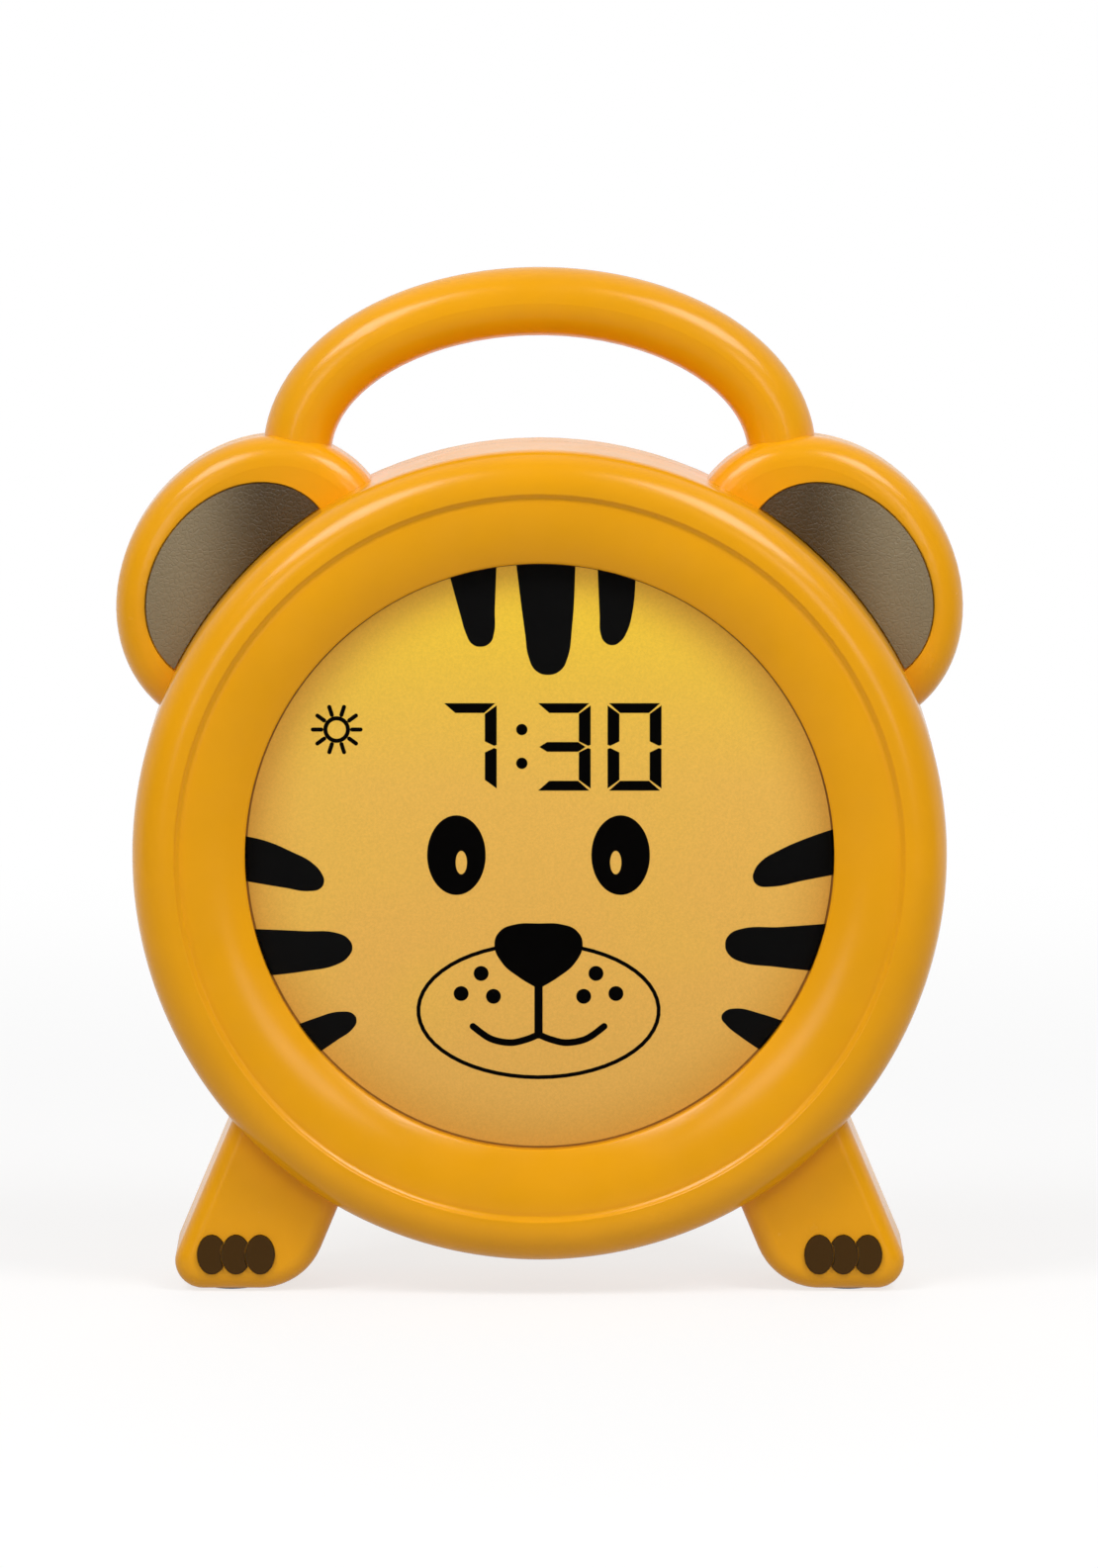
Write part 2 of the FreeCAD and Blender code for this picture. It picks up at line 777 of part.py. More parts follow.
def limbs(doc, body, d, facing):
    """Hollow half ears, legs and handle on one side of the parting plane."""
    back = facing < 0
    for side in SIDES.values():
        sketch = new_sketch(body, FACING)
        leg_outline(sketch, d, side, 0)
        pad(body, sketch, d.leg_depth, back)
    round_leg(doc, body, d, facing)
    for side in SIDES.values():
        sketch = new_sketch(body, FACING)
        ear_outline(sketch, d, side, 0)
        pad(body, sketch, d.ear_depth, back)
    face = -facing * d.ear_depth.number
    round_edges(doc, body, d.ear_edge, lambda box: max(abs(box.YMin - face), abs(box.YMax - face)) < NEAR)
    path = handle_path(body, d)
    handle_tube(body, d, path, d.handle_thick / 2, facing, "AdditivePipe")
    for side in SIDES.values():
        sketch = new_sketch(body, FACING)
        ear_outline(sketch, d, side, d.wall)
        pocket(body, sketch, d.ear_depth - d.wall - d.inlay_recess, not back)
        sketch = new_sketch(body, FACING)
        leg_outline(sketch, d, side, d.wall + d.rubber_sunk)
        pocket(body, sketch, d.leg_depth - d.wall - d.toe_sunk, not back)
        sketch = new_sketch(body, LEVEL, sole(d))
        draw_circle(sketch, rubber_out(d) * side, d.rubber_back * -facing, d.rubber_radius + d.gap / 2)
        pocket(body, sketch, d.rubber_sunk, True)
    handle_tube(body, d, path, d.handle_thick / 2 - d.wall, facing, "SubtractivePipe")


def front_shell(doc, d):
    body = new_body(doc, "front_shell", d)
    limbs(doc, body, d, 1)
    spots = case_screw_spots(d)
    posts(body, spots[0::2], d.screw_head + d.boss_wall, 0, d.ear_depth - d.inlay_recess - d.wall / 2)
    posts(body, spots[1::2], d.screw_head + d.boss_wall, 0, d.leg_depth - d.toe_sunk - d.wall / 2)
    drill(body, spots, d.screw_radius + d.thread_fit, 0, case_screw_grip(d) + d.gap, True)
    for side in SIDES.values():
        sketch = new_sketch(body, FACING, d.ear_depth)
        inlay_outline(sketch, d, side, d.gap / 2)
        pocket(body, sketch, d.inlay_recess)
        for place in TOES:
            sketch = new_sketch(body, FACING, d.leg_depth)
            toe_outline(sketch, d, side, place, d.gap / 2)
            pocket(body, sketch, d.toe_sunk)
    back = ring_seat(d) - d.wall
    inner = d.drum_radius - d.wall
    turn(body, [(0, 0), (ring_seat(d), 0), (ring_seat(d), d.drum_radius), (0, d.drum_radius)])
    turn(body, [
        (-d.gap, 0),
        (ring_seat(d) + d.gap, 0),
        (ring_seat(d) + d.gap, seat_inner(d)),
        (back, seat_inner(d)),
        (back, inner),
        (-d.gap, inner),
    ], "Groove")
    hole = drill(body, [(frame_screw_out(d), 0)], d.screw_radius + d.gap / 2, ring_seat(d), d.wall)
    repeat_round(body, [hole], FRAME_SCREWS)
    return body


def rear_shell(doc, d):
    """Domed back with battery bay, sound holes, button holes and screw wells."""
    body = new_body(doc, "rear_shell", d)
    limbs(doc, body, d, -1)
    spots = case_screw_spots(d)
    posts(body, spots[0::2], d.screw_head + d.boss_wall, 0, d.ear_depth - d.wall / 2, True)
    posts(body, spots[1::2], d.screw_head + d.boss_wall, 0, d.leg_depth - d.wall / 2, True)
    drill(body, spots, d.screw_radius + d.gap / 2, 0, -case_screw_seat(d) + d.gap)
    drill(body, spots, d.screw_head + d.gap, case_screw_seat(d), d.leg_depth)
    face = rear_face(d)
    inside = rear_inside(d)
    inner = d.drum_radius - d.wall
    dome = -d.dome_start - face
    flat = d.drum_radius - dome
    turn(body, [
        (0, 0),
        (0, d.drum_radius),
        (-d.dome_start, d.drum_radius),
        (face, flat, -dome),
        (face, 0),
    ])
    turn(body, [
        (d.gap, 0),
        (d.gap, inner),
        (-d.dome_start, inner),
        (inside, flat, d.wall - dome),
        (inside, 0),
    ], "Groove")
    battery_bay(body, d)
    speaker_seat(body, d)
    bosses = button_board_spots(d)
    posts(body, bosses, d.screw_radius + d.boss_wall, board_back(d), d.button_board_deep + d.wall / 2, True)
    drill(body, bosses, d.screw_radius + d.thread_fit, board_back(d), d.button_board_deep - d.gap)
    holes = [(x, y) for name, x, y in button_spots(d)]
    drill(body, holes, d.button_radius + d.gap, inside, d.wall + d.gap)
    drill(body, [(-d.socket_out, d.socket_up)], d.socket_radius + d.gap / 2, inside, d.wall + d.gap)
    half = (d.knob_length + d.slide_travel) / 2 + d.gap
    rise = d.knob_width / 2 + d.gap
    hollow(
        body,
        inside,
        d.wall + d.gap,
        slide_out(d) - half,
        d.slide_up - rise,
        slide_out(d) + half,
        d.slide_up + rise,
    )
    return body


def door_outline(sketch, d, clearance):
    """The battery door: a plate with rounded lower corners and a tab for its screw."""
    half = bay_half(d) + d.door_margin - clearance
    low = bay_bottom(d) - d.door_margin + clearance
    high = d.bay_top + d.door_margin - clearance
    tab = d.door_tab_half - clearance
    tip = d.bay_top + d.door_tab - clearance
    corner = d.door_corner
    draw_outline(sketch, [
        (half - corner, low),
        (half, low + corner, corner),
        (half, high - corner),
        (half - corner, high, corner),
        (tab, high),
        (tab, tip - corner),
        (tab - corner, tip, corner),
        (corner - tab, tip),
        (-tab, tip - corner, corner),
        (-tab, high),
        (corner - half, high),
        (-half, high - corner, corner),
        (-half, low + corner),
        (corner - half, low, corner),
    ])


def battery_bay(body, d):
    """A box for three cells, the rebate of its door and the post of the door's screw."""
    half = bay_half(d)
    low = bay_bottom(d)
    floor = bay_floor(d)
    depth = floor + d.wall - rear_inside(d) + d.wall / 2
    block(
        body,
        floor + d.wall,
        depth,
        -half - d.wall,
        low - d.wall,
        half + d.wall,
        d.bay_top + d.wall,
        True,
    )
    tab = d.door_tab_half + d.wall
    block(
        body,
        door_inside(d) + d.door_post,
        d.door_post,
        -tab,
        d.bay_top,
        tab,
        d.bay_top + d.door_tab + d.wall,
        True,
    )
    hollow(body, rear_face(d), floor - rear_face(d), -half, low, half, d.bay_top, True)
    sketch = new_sketch(body, FACING, rear_face(d))
    door_outline(sketch, d, 0)
    pocket(body, sketch, d.door_thickness, True)
    for middle in tongue_spots(d):
        hollow(
            body,
            door_inside(d) - d.tongue_thickness - d.gap,
            d.tongue_thickness + d.gap + d.tongue_room,
            middle - d.tongue_half - d.gap,
            low - d.door_margin - d.tongue_length - d.gap,
            middle + d.tongue_half + d.gap,
            low + d.gap,
            True,
        )
    drill(
        body,
        [(0, door_screw_up(d))],
        d.screw_radius + d.gap,
        door_inside(d),
        d.door_post - d.tip_room,
        True,
    )


def speaker_seat(body, d):
    """A rib round the speaker, posts for its screws and rings of sound holes."""
    middle = (-d.speaker_out, d.speaker_up)
    inside = rear_inside(d)
    rim = inside + d.speaker_rim
    posts(body, speaker_spots(d), d.screw_radius + d.speaker_post, rim, d.speaker_rim + d.wall / 2, True)
    rib = new_sketch(body, FACING, rim)
    draw_circle(rib, *middle, d.speaker_radius + d.gap)
    draw_circle(rib, *middle, d.speaker_radius + d.gap + d.rib_thickness)
    pad(body, rib, d.speaker_rim + d.wall / 2, True)
    drill(body, [middle], d.speaker_radius + d.gap, rim, d.speaker_rim)
    drill(body, speaker_spots(d), d.screw_radius + d.thread_fit, rim, d.speaker_rim + d.wall / 2)
    holes = [middle]
    for ring in range(1, 4):
        count = ring * 6
        for place in range(count):
            angle = 360 * place / count
            reach = d.grille_pitch * ring
            holes.append((middle[0] + reach * cosine(angle), middle[1] + reach * sine(angle)))
    drill(body, holes, d.grille_hole, inside, d.wall + d.gap)


def face_ring(doc, d):
    """The broad ring: window rebate, domed bevel, fine groove, crest and outer roll."""
    body = new_body(doc, "face_ring", d)
    roll_middle = d.drum_radius - d.roll_radius
    roll_start = d.front_depth - d.roll_radius
    crest_inner = roll_middle - d.crest_width
    bevel_outer = crest_inner - d.groove_width
    bevel_top = d.front_depth - d.bevel_drop
    groove_floor = d.front_depth - d.groove_depth
    rebate = d.screen_radius + d.lens_overlap + d.gap
    window = screen_front(d)
    turn(body, [
        (ring_seat(d), rebate),
        (window, rebate),
        (window, d.screen_radius),
        (window + d.rim_lip, d.screen_radius),
        (bevel_top, bevel_outer, -d.bevel_curve),
        (groove_floor, bevel_outer),
        (groove_floor, crest_inner),
        (d.front_depth, crest_inner),
        (d.front_depth, roll_middle),
        (roll_start, d.drum_radius, -d.roll_radius),
        (ring_seat(d), d.drum_radius),
        (ring_seat(d), d.drum_radius - d.wall),
        (roll_start, d.drum_radius - d.wall),
        (d.front_depth - d.wall, roll_middle, d.roll_radius - d.wall),
        (ring_seat(d), roll_middle),
    ])
    spot = [(frame_screw_out(d), 0)]
    to_wall = d.screw_head + d.gap * 2
    post = posts(body, spot, to_wall + d.gap, ring_seat(d), ring_boss(d))
    hole = drill(body, spot, d.screw_radius + d.thread_fit, ring_seat(d), ring_boss(d) - d.gap * 2, True)
    repeat_round(body, [post, hole], FRAME_SCREWS)
    return body


def ring_boss(d):
    """Length of the screw posts inside the face ring."""
    return d.front_depth - ring_seat(d) - d.roll_radius / 2


def ear_inlay(doc, d, name, side):
    """A domed dark plate that fills the recess of the ear and ends at the drum."""
    plate = new_body(doc, f"{name}_plate", d)
    sketch = new_sketch(plate, FACING, d.ear_depth - d.inlay_recess)
    inlay_outline(sketch, d, side, -d.gap / 2)
    pad(plate, sketch, d.inlay_recess + d.inlay_dome)
    turn(plate, [
        (d.ear_depth - d.inlay_recess - d.gap, 0),
        (d.ear_depth + d.inlay_dome + d.gap, 0),
        (d.ear_depth + d.inlay_dome + d.gap, d.drum_radius + d.gap),
        (d.ear_depth - d.inlay_recess - d.gap, d.drum_radius + d.gap),
    ], "Groove")
    ball = doc.addObject("Part::Sphere", f"{name}_ball")
    bind(ball, "Radius", d.inlay_curve)
    bind(ball, "Placement.Base.x", inlay_out(d) * d.inlay_crest * side)
    bind(ball, "Placement.Base.y", d.inlay_curve - d.ear_depth - d.inlay_dome)
    bind(ball, "Placement.Base.z", d.drum_height + inlay_up(d) * d.inlay_crest)
    inlay = doc.addObject("Part::Common", name)
    inlay.Base = plate
    inlay.Tool = ball
    inlay.Label = name
    return inlay


def toe_outline(sketch, d, side, place, clearance):
    """One toe; place counts from -1 at the outer side to 1 at the inner side."""
    draw_ellipse(
        sketch,
        side * (d.toe_middle - d.toe_pitch * place),
        d.toe_up - d.drum_height,
        d.toe_long / 2 + clearance,
        d.toe_wide / 2 + clearance,
        90,
    )


def rubber_feet(doc, d):
    body = new_body(doc, "rubber_feet", d)
    sketch = new_sketch(body, LEVEL, -d.drum_height)
    for side in SIDES.values():
        for end in (-1, 1):
            draw_circle(sketch, rubber_out(d) * side, d.rubber_back * end, d.rubber_radius)
    pad(body, sketch, d.rubber_sunk + d.rubber_proud)
    return body


def case_screws(doc, d):
    body = new_body(doc, "case_screws", d)
    seat = case_screw_seat(d)
    for x, y in case_screw_spots(d):
        screw(body, d, seat, case_screw_grip(d) - seat, x, y)
        cross_slot(body, d, seat - d.head_height, x, y)
    return body


# Display and night light

def glass_outline(sketch, d, cut):
    """A regular eight-sided glass; its lower flat can be raised to leave a ledge."""
    half = lcd_half(d)
    corner = half * math.tan(math.radians(22.5))
    narrow = corner + cut
    draw_outline(sketch, [
        (-narrow, cut - half),
        (narrow, cut - half),
        (half, -corner),
        (half, corner),
        (corner, half),
        (-corner, half),
        (-half, corner),
        (-half, -corner),
    ])


def screen_lens(doc, d):
    body = new_body(doc, "screen_lens", d)
    back = ring_seat(d) + d.film_thickness
    sleeve(body, back, screen_front(d), 0, d.screen_radius + d.lens_overlap)
    return body


def face_film(doc, d):
    body = new_body(doc, "face_film", d)
    sleeve(body, ring_seat(d), ring_seat(d) + d.film_thickness, 0, d.screen_radius + d.lens_overlap)
    return body


def lcd_panel(doc, d):
    """Two bonded glass sheets; the front one leaves a contact ledge below."""
    body = new_body(doc, "lcd_panel", d)
    sketch = new_sketch(body, FACING, ring_seat(d) - d.lcd_thickness)
    glass_outline(sketch, d, 0)
    pad(body, sketch, d.lcd_thickness / 2)
    sketch = new_sketch(body, FACING, ring_seat(d) - d.lcd_thickness / 2)
    glass_outline(sketch, d, d.zebra_width / 2)
    pad(body, sketch, d.lcd_thickness / 2)
    return body


def guide_front(d):
    return ring_seat(d) - d.lcd_thickness


def guide_back(d):
    return guide_front(d) - d.guide_thickness


def board_front(d):
    """Forward place of the front of the main board."""
    return guide_back(d) - d.frame_floor


def zebra_low(d):
    return d.zebra_margin - lcd_half(d)


def zebra_high(d):
    return zebra_low(d) + d.zebra_width


def light_guide(doc, d):
    """A clear round plate with a flat above the rubber connector."""
    body = new_body(doc, "light_guide", d)
    sleeve(body, guide_back(d), guide_front(d), 0, guide_radius(d))
    half = d.guide_flat
    hollow(body, guide_front(d), d.guide_thickness, -half, -lcd_half(d), half, zebra_high(d) + d.gap * 2)
    return body


def zebra_strip(doc, d):
    body = new_body(doc, "zebra_strip", d)
    block(
        body,
        board_front(d),
        guide_front(d) - board_front(d),
        -d.zebra_half,
        zebra_low(d),
        d.zebra_half,
        zebra_high(d),
    )
    return body


def display_frame(doc, d):
    """A white dish round the light guide, with lamp niches and four screw lugs."""
    body = new_body(doc, "display_frame", d)
    outer = seat_inner(d) - d.gap
    inner = guide_radius(d) + d.gap
    turn(body, [
        (board_front(d), 0),
        (guide_back(d), 0),
        (guide_back(d), inner),
        (guide_front(d), inner),
        (guide_front(d), outer),
        (board_front(d), outer),
    ])
    lug_front = ring_seat(d) - d.wall
    lug = block(
        body,
        lug_front,
        d.lug_thickness,
        inner + d.lamp_side + d.gap * 2,
        -d.lug_half,
        d.drum_radius - d.wall - d.gap,
        d.lug_half,
        True,
    )
    hole = drill(body, [(frame_screw_out(d), 0)], d.screw_radius + d.gap / 2, lug_front, d.lug_thickness)
    repeat_round(body, [lug, hole], FRAME_SCREWS)
    niche = hollow(
        body,
        board_front(d),
        d.lamp_side + d.gap,
        guide_radius(d) - d.gap,
        -d.lamp_half - d.gap,
        inner + d.lamp_side + d.gap,
        d.lamp_half + d.gap,
        True,
    )
    repeat_round(body, [niche], LAMPS)
    drill(body, board_screw_spots(d), d.screw_radius + d.thread_fit, board_front(d), d.guide_thickness, True)
    hollow(
        body,
        board_front(d),
        d.frame_floor + d.guide_thickness,
        -d.zebra_half - d.gap,
        zebra_low(d) - d.gap,
        d.zebra_half + d.gap,
        zebra_high(d) + d.gap,
        True,
    )
    return body


def frame_screws(doc, d):
    """Screws through the frame's lugs and the case into the face ring."""
    body = new_body(doc, "frame_screws", d)
    seat = ring_seat(d) - d.wall - d.lug_thickness
    grip = d.lug_thickness + d.wall + ring_boss(d) - d.gap * 4
    first = screw(body, d, seat, grip, frame_screw_out(d), 0)
    repeat_round(body, [first], FRAME_SCREWS)
    return body


def main_board(doc, d):
    body = new_body(doc, "main_board", d)
    sleeve(body, board_front(d) - d.board_thickness, board_front(d), 0, seat_inner(d) - d.gap)
    drill(body, board_screw_spots(d), d.screw_radius + d.gap / 2, board_front(d), d.board_thickness)
    return body


def board_screws(doc, d):
    body = new_body(doc, "board_screws", d)
    seat = board_front(d) - d.board_thickness
    for x, y in board_screw_spots(d):
        screw(body, d, seat, d.board_thickness + d.guide_thickness - d.gap, x, y)
    return body


def backlight_lamps(doc, d):
    """Side-firing lamps round the edge of the light guide."""
    body = new_body(doc, "backlight_lamps", d)
    near = guide_radius(d) + d.gap
    lamp = block(body, board_front(d), d.lamp_side, near, -d.lamp_half, near + d.lamp_side, d.lamp_half)
    repeat_round(body, [lamp], LAMPS)
    return body


def board_parts(doc, d):
    """Controller, driver, crystal, capacitors and plug on the rear of the main board."""
    body = new_body(doc, "board_parts", d)
    back = board_front(d) - d.board_thickness
    for height, left, low, wide, tall in BOARD_CHIPS:
        block(body, back, height, left, low, left + wide, low + tall, True)
    posts(body, BOARD_CAPACITORS, CAPACITOR_RADIUS, back, CAPACITOR_HEIGHT, True)
    return body


# Speaker

def speaker_basket(doc, d):
    """A metal dish with a flat rim that lies on the rear wall."""
    body = new_body(doc, "speaker_basket", d)
    rim = rear_inside(d)
    plate = rim + d.speaker_deep - d.magnet_thickness
    metal = d.basket_metal
    mouth = d.speaker_radius - d.speaker_flange
    turn(body, [
        (plate, 0),
        (plate - metal, 0),
        (plate - metal, d.magnet_radius - metal),
        (rim + d.speaker_rim - metal, mouth),
        (rim, mouth),
        (rim, d.speaker_radius),
        (rim + d.speaker_rim, d.speaker_radius),
        (rim + d.speaker_rim, mouth + metal),
        (plate, d.magnet_radius),
    ], out=-d.speaker_out, up=d.speaker_up)
    return body


def speaker_cone(doc, d):
    """A paper cone with a domed dust cap."""
    body = new_body(doc, "speaker_cone", d)
    rim = rear_inside(d)
    mouth = d.speaker_radius - d.speaker_flange
    paper = d.cone_paper
    neck = rim + d.cone_depth
    dome = (d.cap_radius * d.cap_radius + d.cap_rise * d.cap_rise) / (d.cap_rise * 2)
    turn(body, [
        (neck + paper, 0),
        (neck + paper, d.cap_radius),
        (rim + d.gap + paper, mouth),
        (rim + d.gap, mouth),
        (neck, d.cap_radius),
        (neck - d.cap_rise, 0, -dome),
    ], out=-d.speaker_out, up=d.speaker_up)
    return body


def speaker_magnet(doc, d):
    body = new_body(doc, "speaker_magnet", d)
    front = rear_inside(d) + d.speaker_deep
    sleeve(
        body,
        front - d.magnet_thickness,
        front,
        0,
        d.magnet_radius,
        out=-d.speaker_out,
        up=d.speaker_up,
    )
    return body


def speaker_screws(doc, d):
    """Screws whose heads hold the rim of the speaker; their shanks point back."""
    body = new_body(doc, "speaker_screws", d)
    seat = rear_inside(d) + d.speaker_rim
    for x, y in speaker_spots(d):
        back_screw(body, d, seat, d.speaker_rim + d.wall / 2 - d.gap, x, y)
    return body


def back_screw(body, d, seat, length, out, up):
    """A pan head screw with its head in front of the seat and its shank behind."""
    return turn(body, [
        (seat - length, 0),
        (seat - length, d.screw_radius),
        (seat, d.screw_radius),
        (seat, d.screw_head),
        (seat + d.head_height - d.head_bevel, d.screw_head),
        (seat + d.head_height, d.screw_head - d.head_bevel),
        (seat + d.head_height, 0),
    ], out=out, up=up)


# Controls on the back

def push_button(doc, d, name, x, y):
    """A round cap with a rounded face, a flange inside the case and a stem."""
    body = new_body(doc, name, d)
    inside = rear_inside(d)
    face = -d.front_depth
    edge = d.button_proud / 2
    flange = d.button_radius + d.button_flange
    stem = board_back(d) - d.switch_tall + d.button_travel
    turn(body, [
        (stem, 0),
        (stem, d.stem_radius),
        (inside + d.button_flange, d.stem_radius),
        (inside + d.button_flange, flange),
        (inside, flange),
        (inside, d.button_radius),
        (face + edge, d.button_radius),
        (face, d.button_radius - edge, edge),
        (face, 0),
    ], out=x, up=y)
    return body


def tact_switches(doc, d):
    """One square switch under each button, with a well for the button's stem."""
    body = new_body(doc, "tact_switches", d)
    half = d.switch_side / 2
    spots = [(x, y) for name, x, y in button_spots(d)]
    for x, y in spots:
        block(body, board_back(d), d.switch_tall, x - half, y - half, x + half, y + half, True)
    top = board_back(d) - d.switch_tall
    drill(body, spots, d.stem_radius + d.gap, top, d.button_travel * 3, True)
    return body


def button_board(doc, d):
    body = new_body(doc, "button_board", d)
    back = board_back(d)
    margin = d.board_margin
    block(
        body,
        back,
        d.board_thickness,
        d.button_left - margin,
        d.slide_up - margin,
        d.button_left + d.button_pitch * 2 + margin,
        d.button_low + d.button_pitch + margin,
    )
    front = back + d.board_thickness
    drill(body, button_board_spots(d), d.screw_radius + d.gap / 2, front, d.board_thickness)
    return body


def button_board_screws(doc, d):
    body = new_body(doc, "button_board_screws", d)
    for x, y in button_board_spots(d):
        back_screw(body, d, board_back(d) + d.board_thickness, d.button_board_deep, x, y)
    return body


def knob_flange(d):
    """Forward place of the outer side of the slide knob's flange."""
    return rear_inside(d) + d.gap


def slide_case(doc, d):
    """The fixed part of the slide switch, slotted for the knob's post."""
    body = new_body(doc, "slide_case", d)
    middle = slide_out(d)
    half = d.knob_length / 2 + d.slide_travel
    rise = d.knob_width / 2 + d.wall / 2
    low = d.slide_up - rise
    high = d.slide_up + rise
    top = knob_flange(d) + d.knob_flange + d.gap
    block(body, board_back(d), board_back(d) - top, middle - half, low, middle + half, high, True)
    reach = d.slide_travel / 2 + d.knob_post + d.gap
    slot = d.knob_post + d.gap
    hollow(
        body,
        top,
        d.knob_post * 2 + d.gap,
        middle - reach,
        d.slide_up - slot,
        middle + reach,
        d.slide_up + slot,
        True,
    )
    return body


def alarm_switch(doc, d):
    """The slide knob at its left stop: grip, flange behind the wall and post."""
    body = new_body(doc, "alarm_switch", d)
    middle = slide_out(d) - d.slide_travel / 2
    flange = knob_flange(d)
    half = d.knob_length / 2
    wide = half + d.slide_travel + d.knob_post
    low = d.slide_up - d.knob_width / 2
    high = d.slide_up + d.knob_width / 2
    face = rear_face(d) - d.knob_proud
    block(body, flange, flange - face, middle - half, low, middle + half, high, True)
    tall = d.knob_width / 2 + d.knob_post
    block(body, flange, d.knob_flange, middle - wide, d.slide_up - tall, middle + wide, d.slide_up + tall)
    post = d.knob_post
    block(
        body,
        flange + d.knob_flange,
        d.knob_post * 2,
        middle - post,
        d.slide_up - post,
        middle + post,
        d.slide_up + post,
    )
    groove = d.knob_length / 12
    for place in (-1, 0, 1):
        ridge = middle + d.knob_length / 4 * place
        hollow(body, face, d.knob_proud / 2, ridge - groove, low, ridge + groove, high, True)
    return body


# Power

def power_socket(doc, d):
    """A round low-voltage socket: flange outside, threaded barrel, centre pin."""
    body = new_body(doc, "power_socket", d)
    face = rear_face(d)
    barrel = d.socket_radius
    end = rear_inside(d) + d.socket_deep
    floor = end - d.wall
    turn(body, [
        (end, 0),
        (face, 0),
        (face, d.socket_pin),
        (floor, d.socket_pin),
        (floor, d.socket_bore),
        (face - d.socket_flange, d.socket_bore),
        (face - d.socket_flange, d.socket_rim),
        (face, d.socket_rim),
        (face, barrel),
        (end, barrel),
    ], out=-d.socket_out, up=d.socket_up)
    return body


def socket_nut(doc, d):
    """A hexagonal nut that holds the socket from inside."""
    body = new_body(doc, "socket_nut", d)
    sketch = new_sketch(body, FACING, rear_inside(d))
    corners = []
    for place in range(6):
        angle = 60 * place
        corners.append((
            d.nut_reach * cosine(angle) - d.socket_out,
            d.nut_reach * sine(angle) + d.socket_up,
        ))
    draw_outline(sketch, corners)
    draw_circle(sketch, -d.socket_out, d.socket_up, d.socket_radius + d.thread_fit)
    pad(body, sketch, d.nut_thickness)
    return body


def battery_door(doc, d):
    """The door with two tongues below, a screw hole in its tab and grip ribs."""
    body = new_body(doc, "battery_door", d)
    face = rear_face(d)
    sketch = new_sketch(body, FACING, face)
    door_outline(sketch, d, d.gap)
    pad(body, sketch, d.door_thickness)
    low = bay_bottom(d) - d.door_margin
    for middle in tongue_spots(d):
        block(
            body,
            door_inside(d),
            d.tongue_thickness,
            middle - d.tongue_half,
            low - d.tongue_length,
            middle + d.tongue_half,
            low + d.door_margin,
            True,
        )
    for place in range(3):
        ridge = d.bay_top - d.door_corner - d.rib_thickness * 2 * place
        low_edge = ridge - d.rib_thickness / 2
        high_edge = ridge + d.rib_thickness / 2
        hollow(
            body,
            face,
            d.tongue_thickness / 2,
            -d.door_tab_half,
            low_edge,
            d.door_tab_half,
            high_edge,
            True,
        )
    spot = [(0, door_screw_up(d))]
    drill(body, spot, d.screw_radius + d.gap / 2, face, d.door_thickness, True)
    drill(body, spot, d.screw_head + d.gap, face, d.door_thickness / 2, True)
    return body


def door_screw(doc, d):
    """A captive screw that stays with the door; its head lies below the face."""
    body = new_body(doc, "door_screw", d)
    seat = rear_face(d) + d.door_thickness / 2
    turn(body, [
        (seat + d.door_post - d.tip_room, 0),
        (seat + d.door_post - d.tip_room, d.screw_radius),
        (seat, d.screw_radius),
        (seat, d.screw_head),
        (rear_face(d), d.screw_head),
        (rear_face(d), 0),
    ], up=door_screw_up(d))
    cross_slot(body, d, rear_face(d), 0, door_screw_up(d))
    return body


def cell_spots(d):
    """Heights of the cells and which way each points: 1 has its cap to the right."""
    first = d.bay_top - d.gap - d.cell_radius
    return [(first - d.cell_pitch * place, 1 if place % 2 == 0 else -1) for place in range(3)]


def cell_middle(d):
    """Forward place of the axes of the cells."""
    return bay_floor(d) - d.gap - d.cell_radius


def turn_across(body, d, up, corners):
    """A profile of sideways distances and radii, turned round a cell's axis."""
    sketch = new_sketch(body, FACING, cell_middle(d))
    bind(sketch, "AttachmentOffset.Base.y", up)
    draw_outline(sketch, corners)
    return add_feature(body, "Revolution", sketch, ReferenceAxis=(sketch, ["H_Axis"]), Angle=360)


def aa_cells(doc, d):
    body = new_body(doc, "aa_cells", d)
    cap_end = bay_half(d) - d.gap - d.plate_thickness
    for up, way in cell_spots(d):
        shoulder = cap_end - d.cell_cap
        base = shoulder - d.cell_length
        turn_across(body, d, up, [
            (base * way, 0),
            (cap_end * way, 0),
            (cap_end * way, d.cell_cap_radius),
            (shoulder * way, d.cell_cap_radius),
            (shoulder * way, d.cell_radius),
            (base * way, d.cell_radius),
        ])
    return body


def battery_plates(doc, d):
    """Contact plates: one wide and one single plate at each end of the bay."""
    body = new_body(doc, "battery_plates", d)
    spots = cell_spots(d)
    reach = d.plate_half
    pairs = {-1: [(0, 1), (2, 2)], 1: [(0, 0), (1, 2)]}
    for side, groups in pairs.items():
        outer = bay_half(d) * side
        inner = (bay_half(d) - d.plate_thickness) * side
        left, right = (outer, inner) if side < 0 else (inner, outer)
        for first, last in groups:
            block(
                body,
                cell_middle(d) + reach,
                reach * 2,
                left,
                spots[last][0] - reach,
                right,
                spots[first][0] + reach,
                True,
            )
    return body


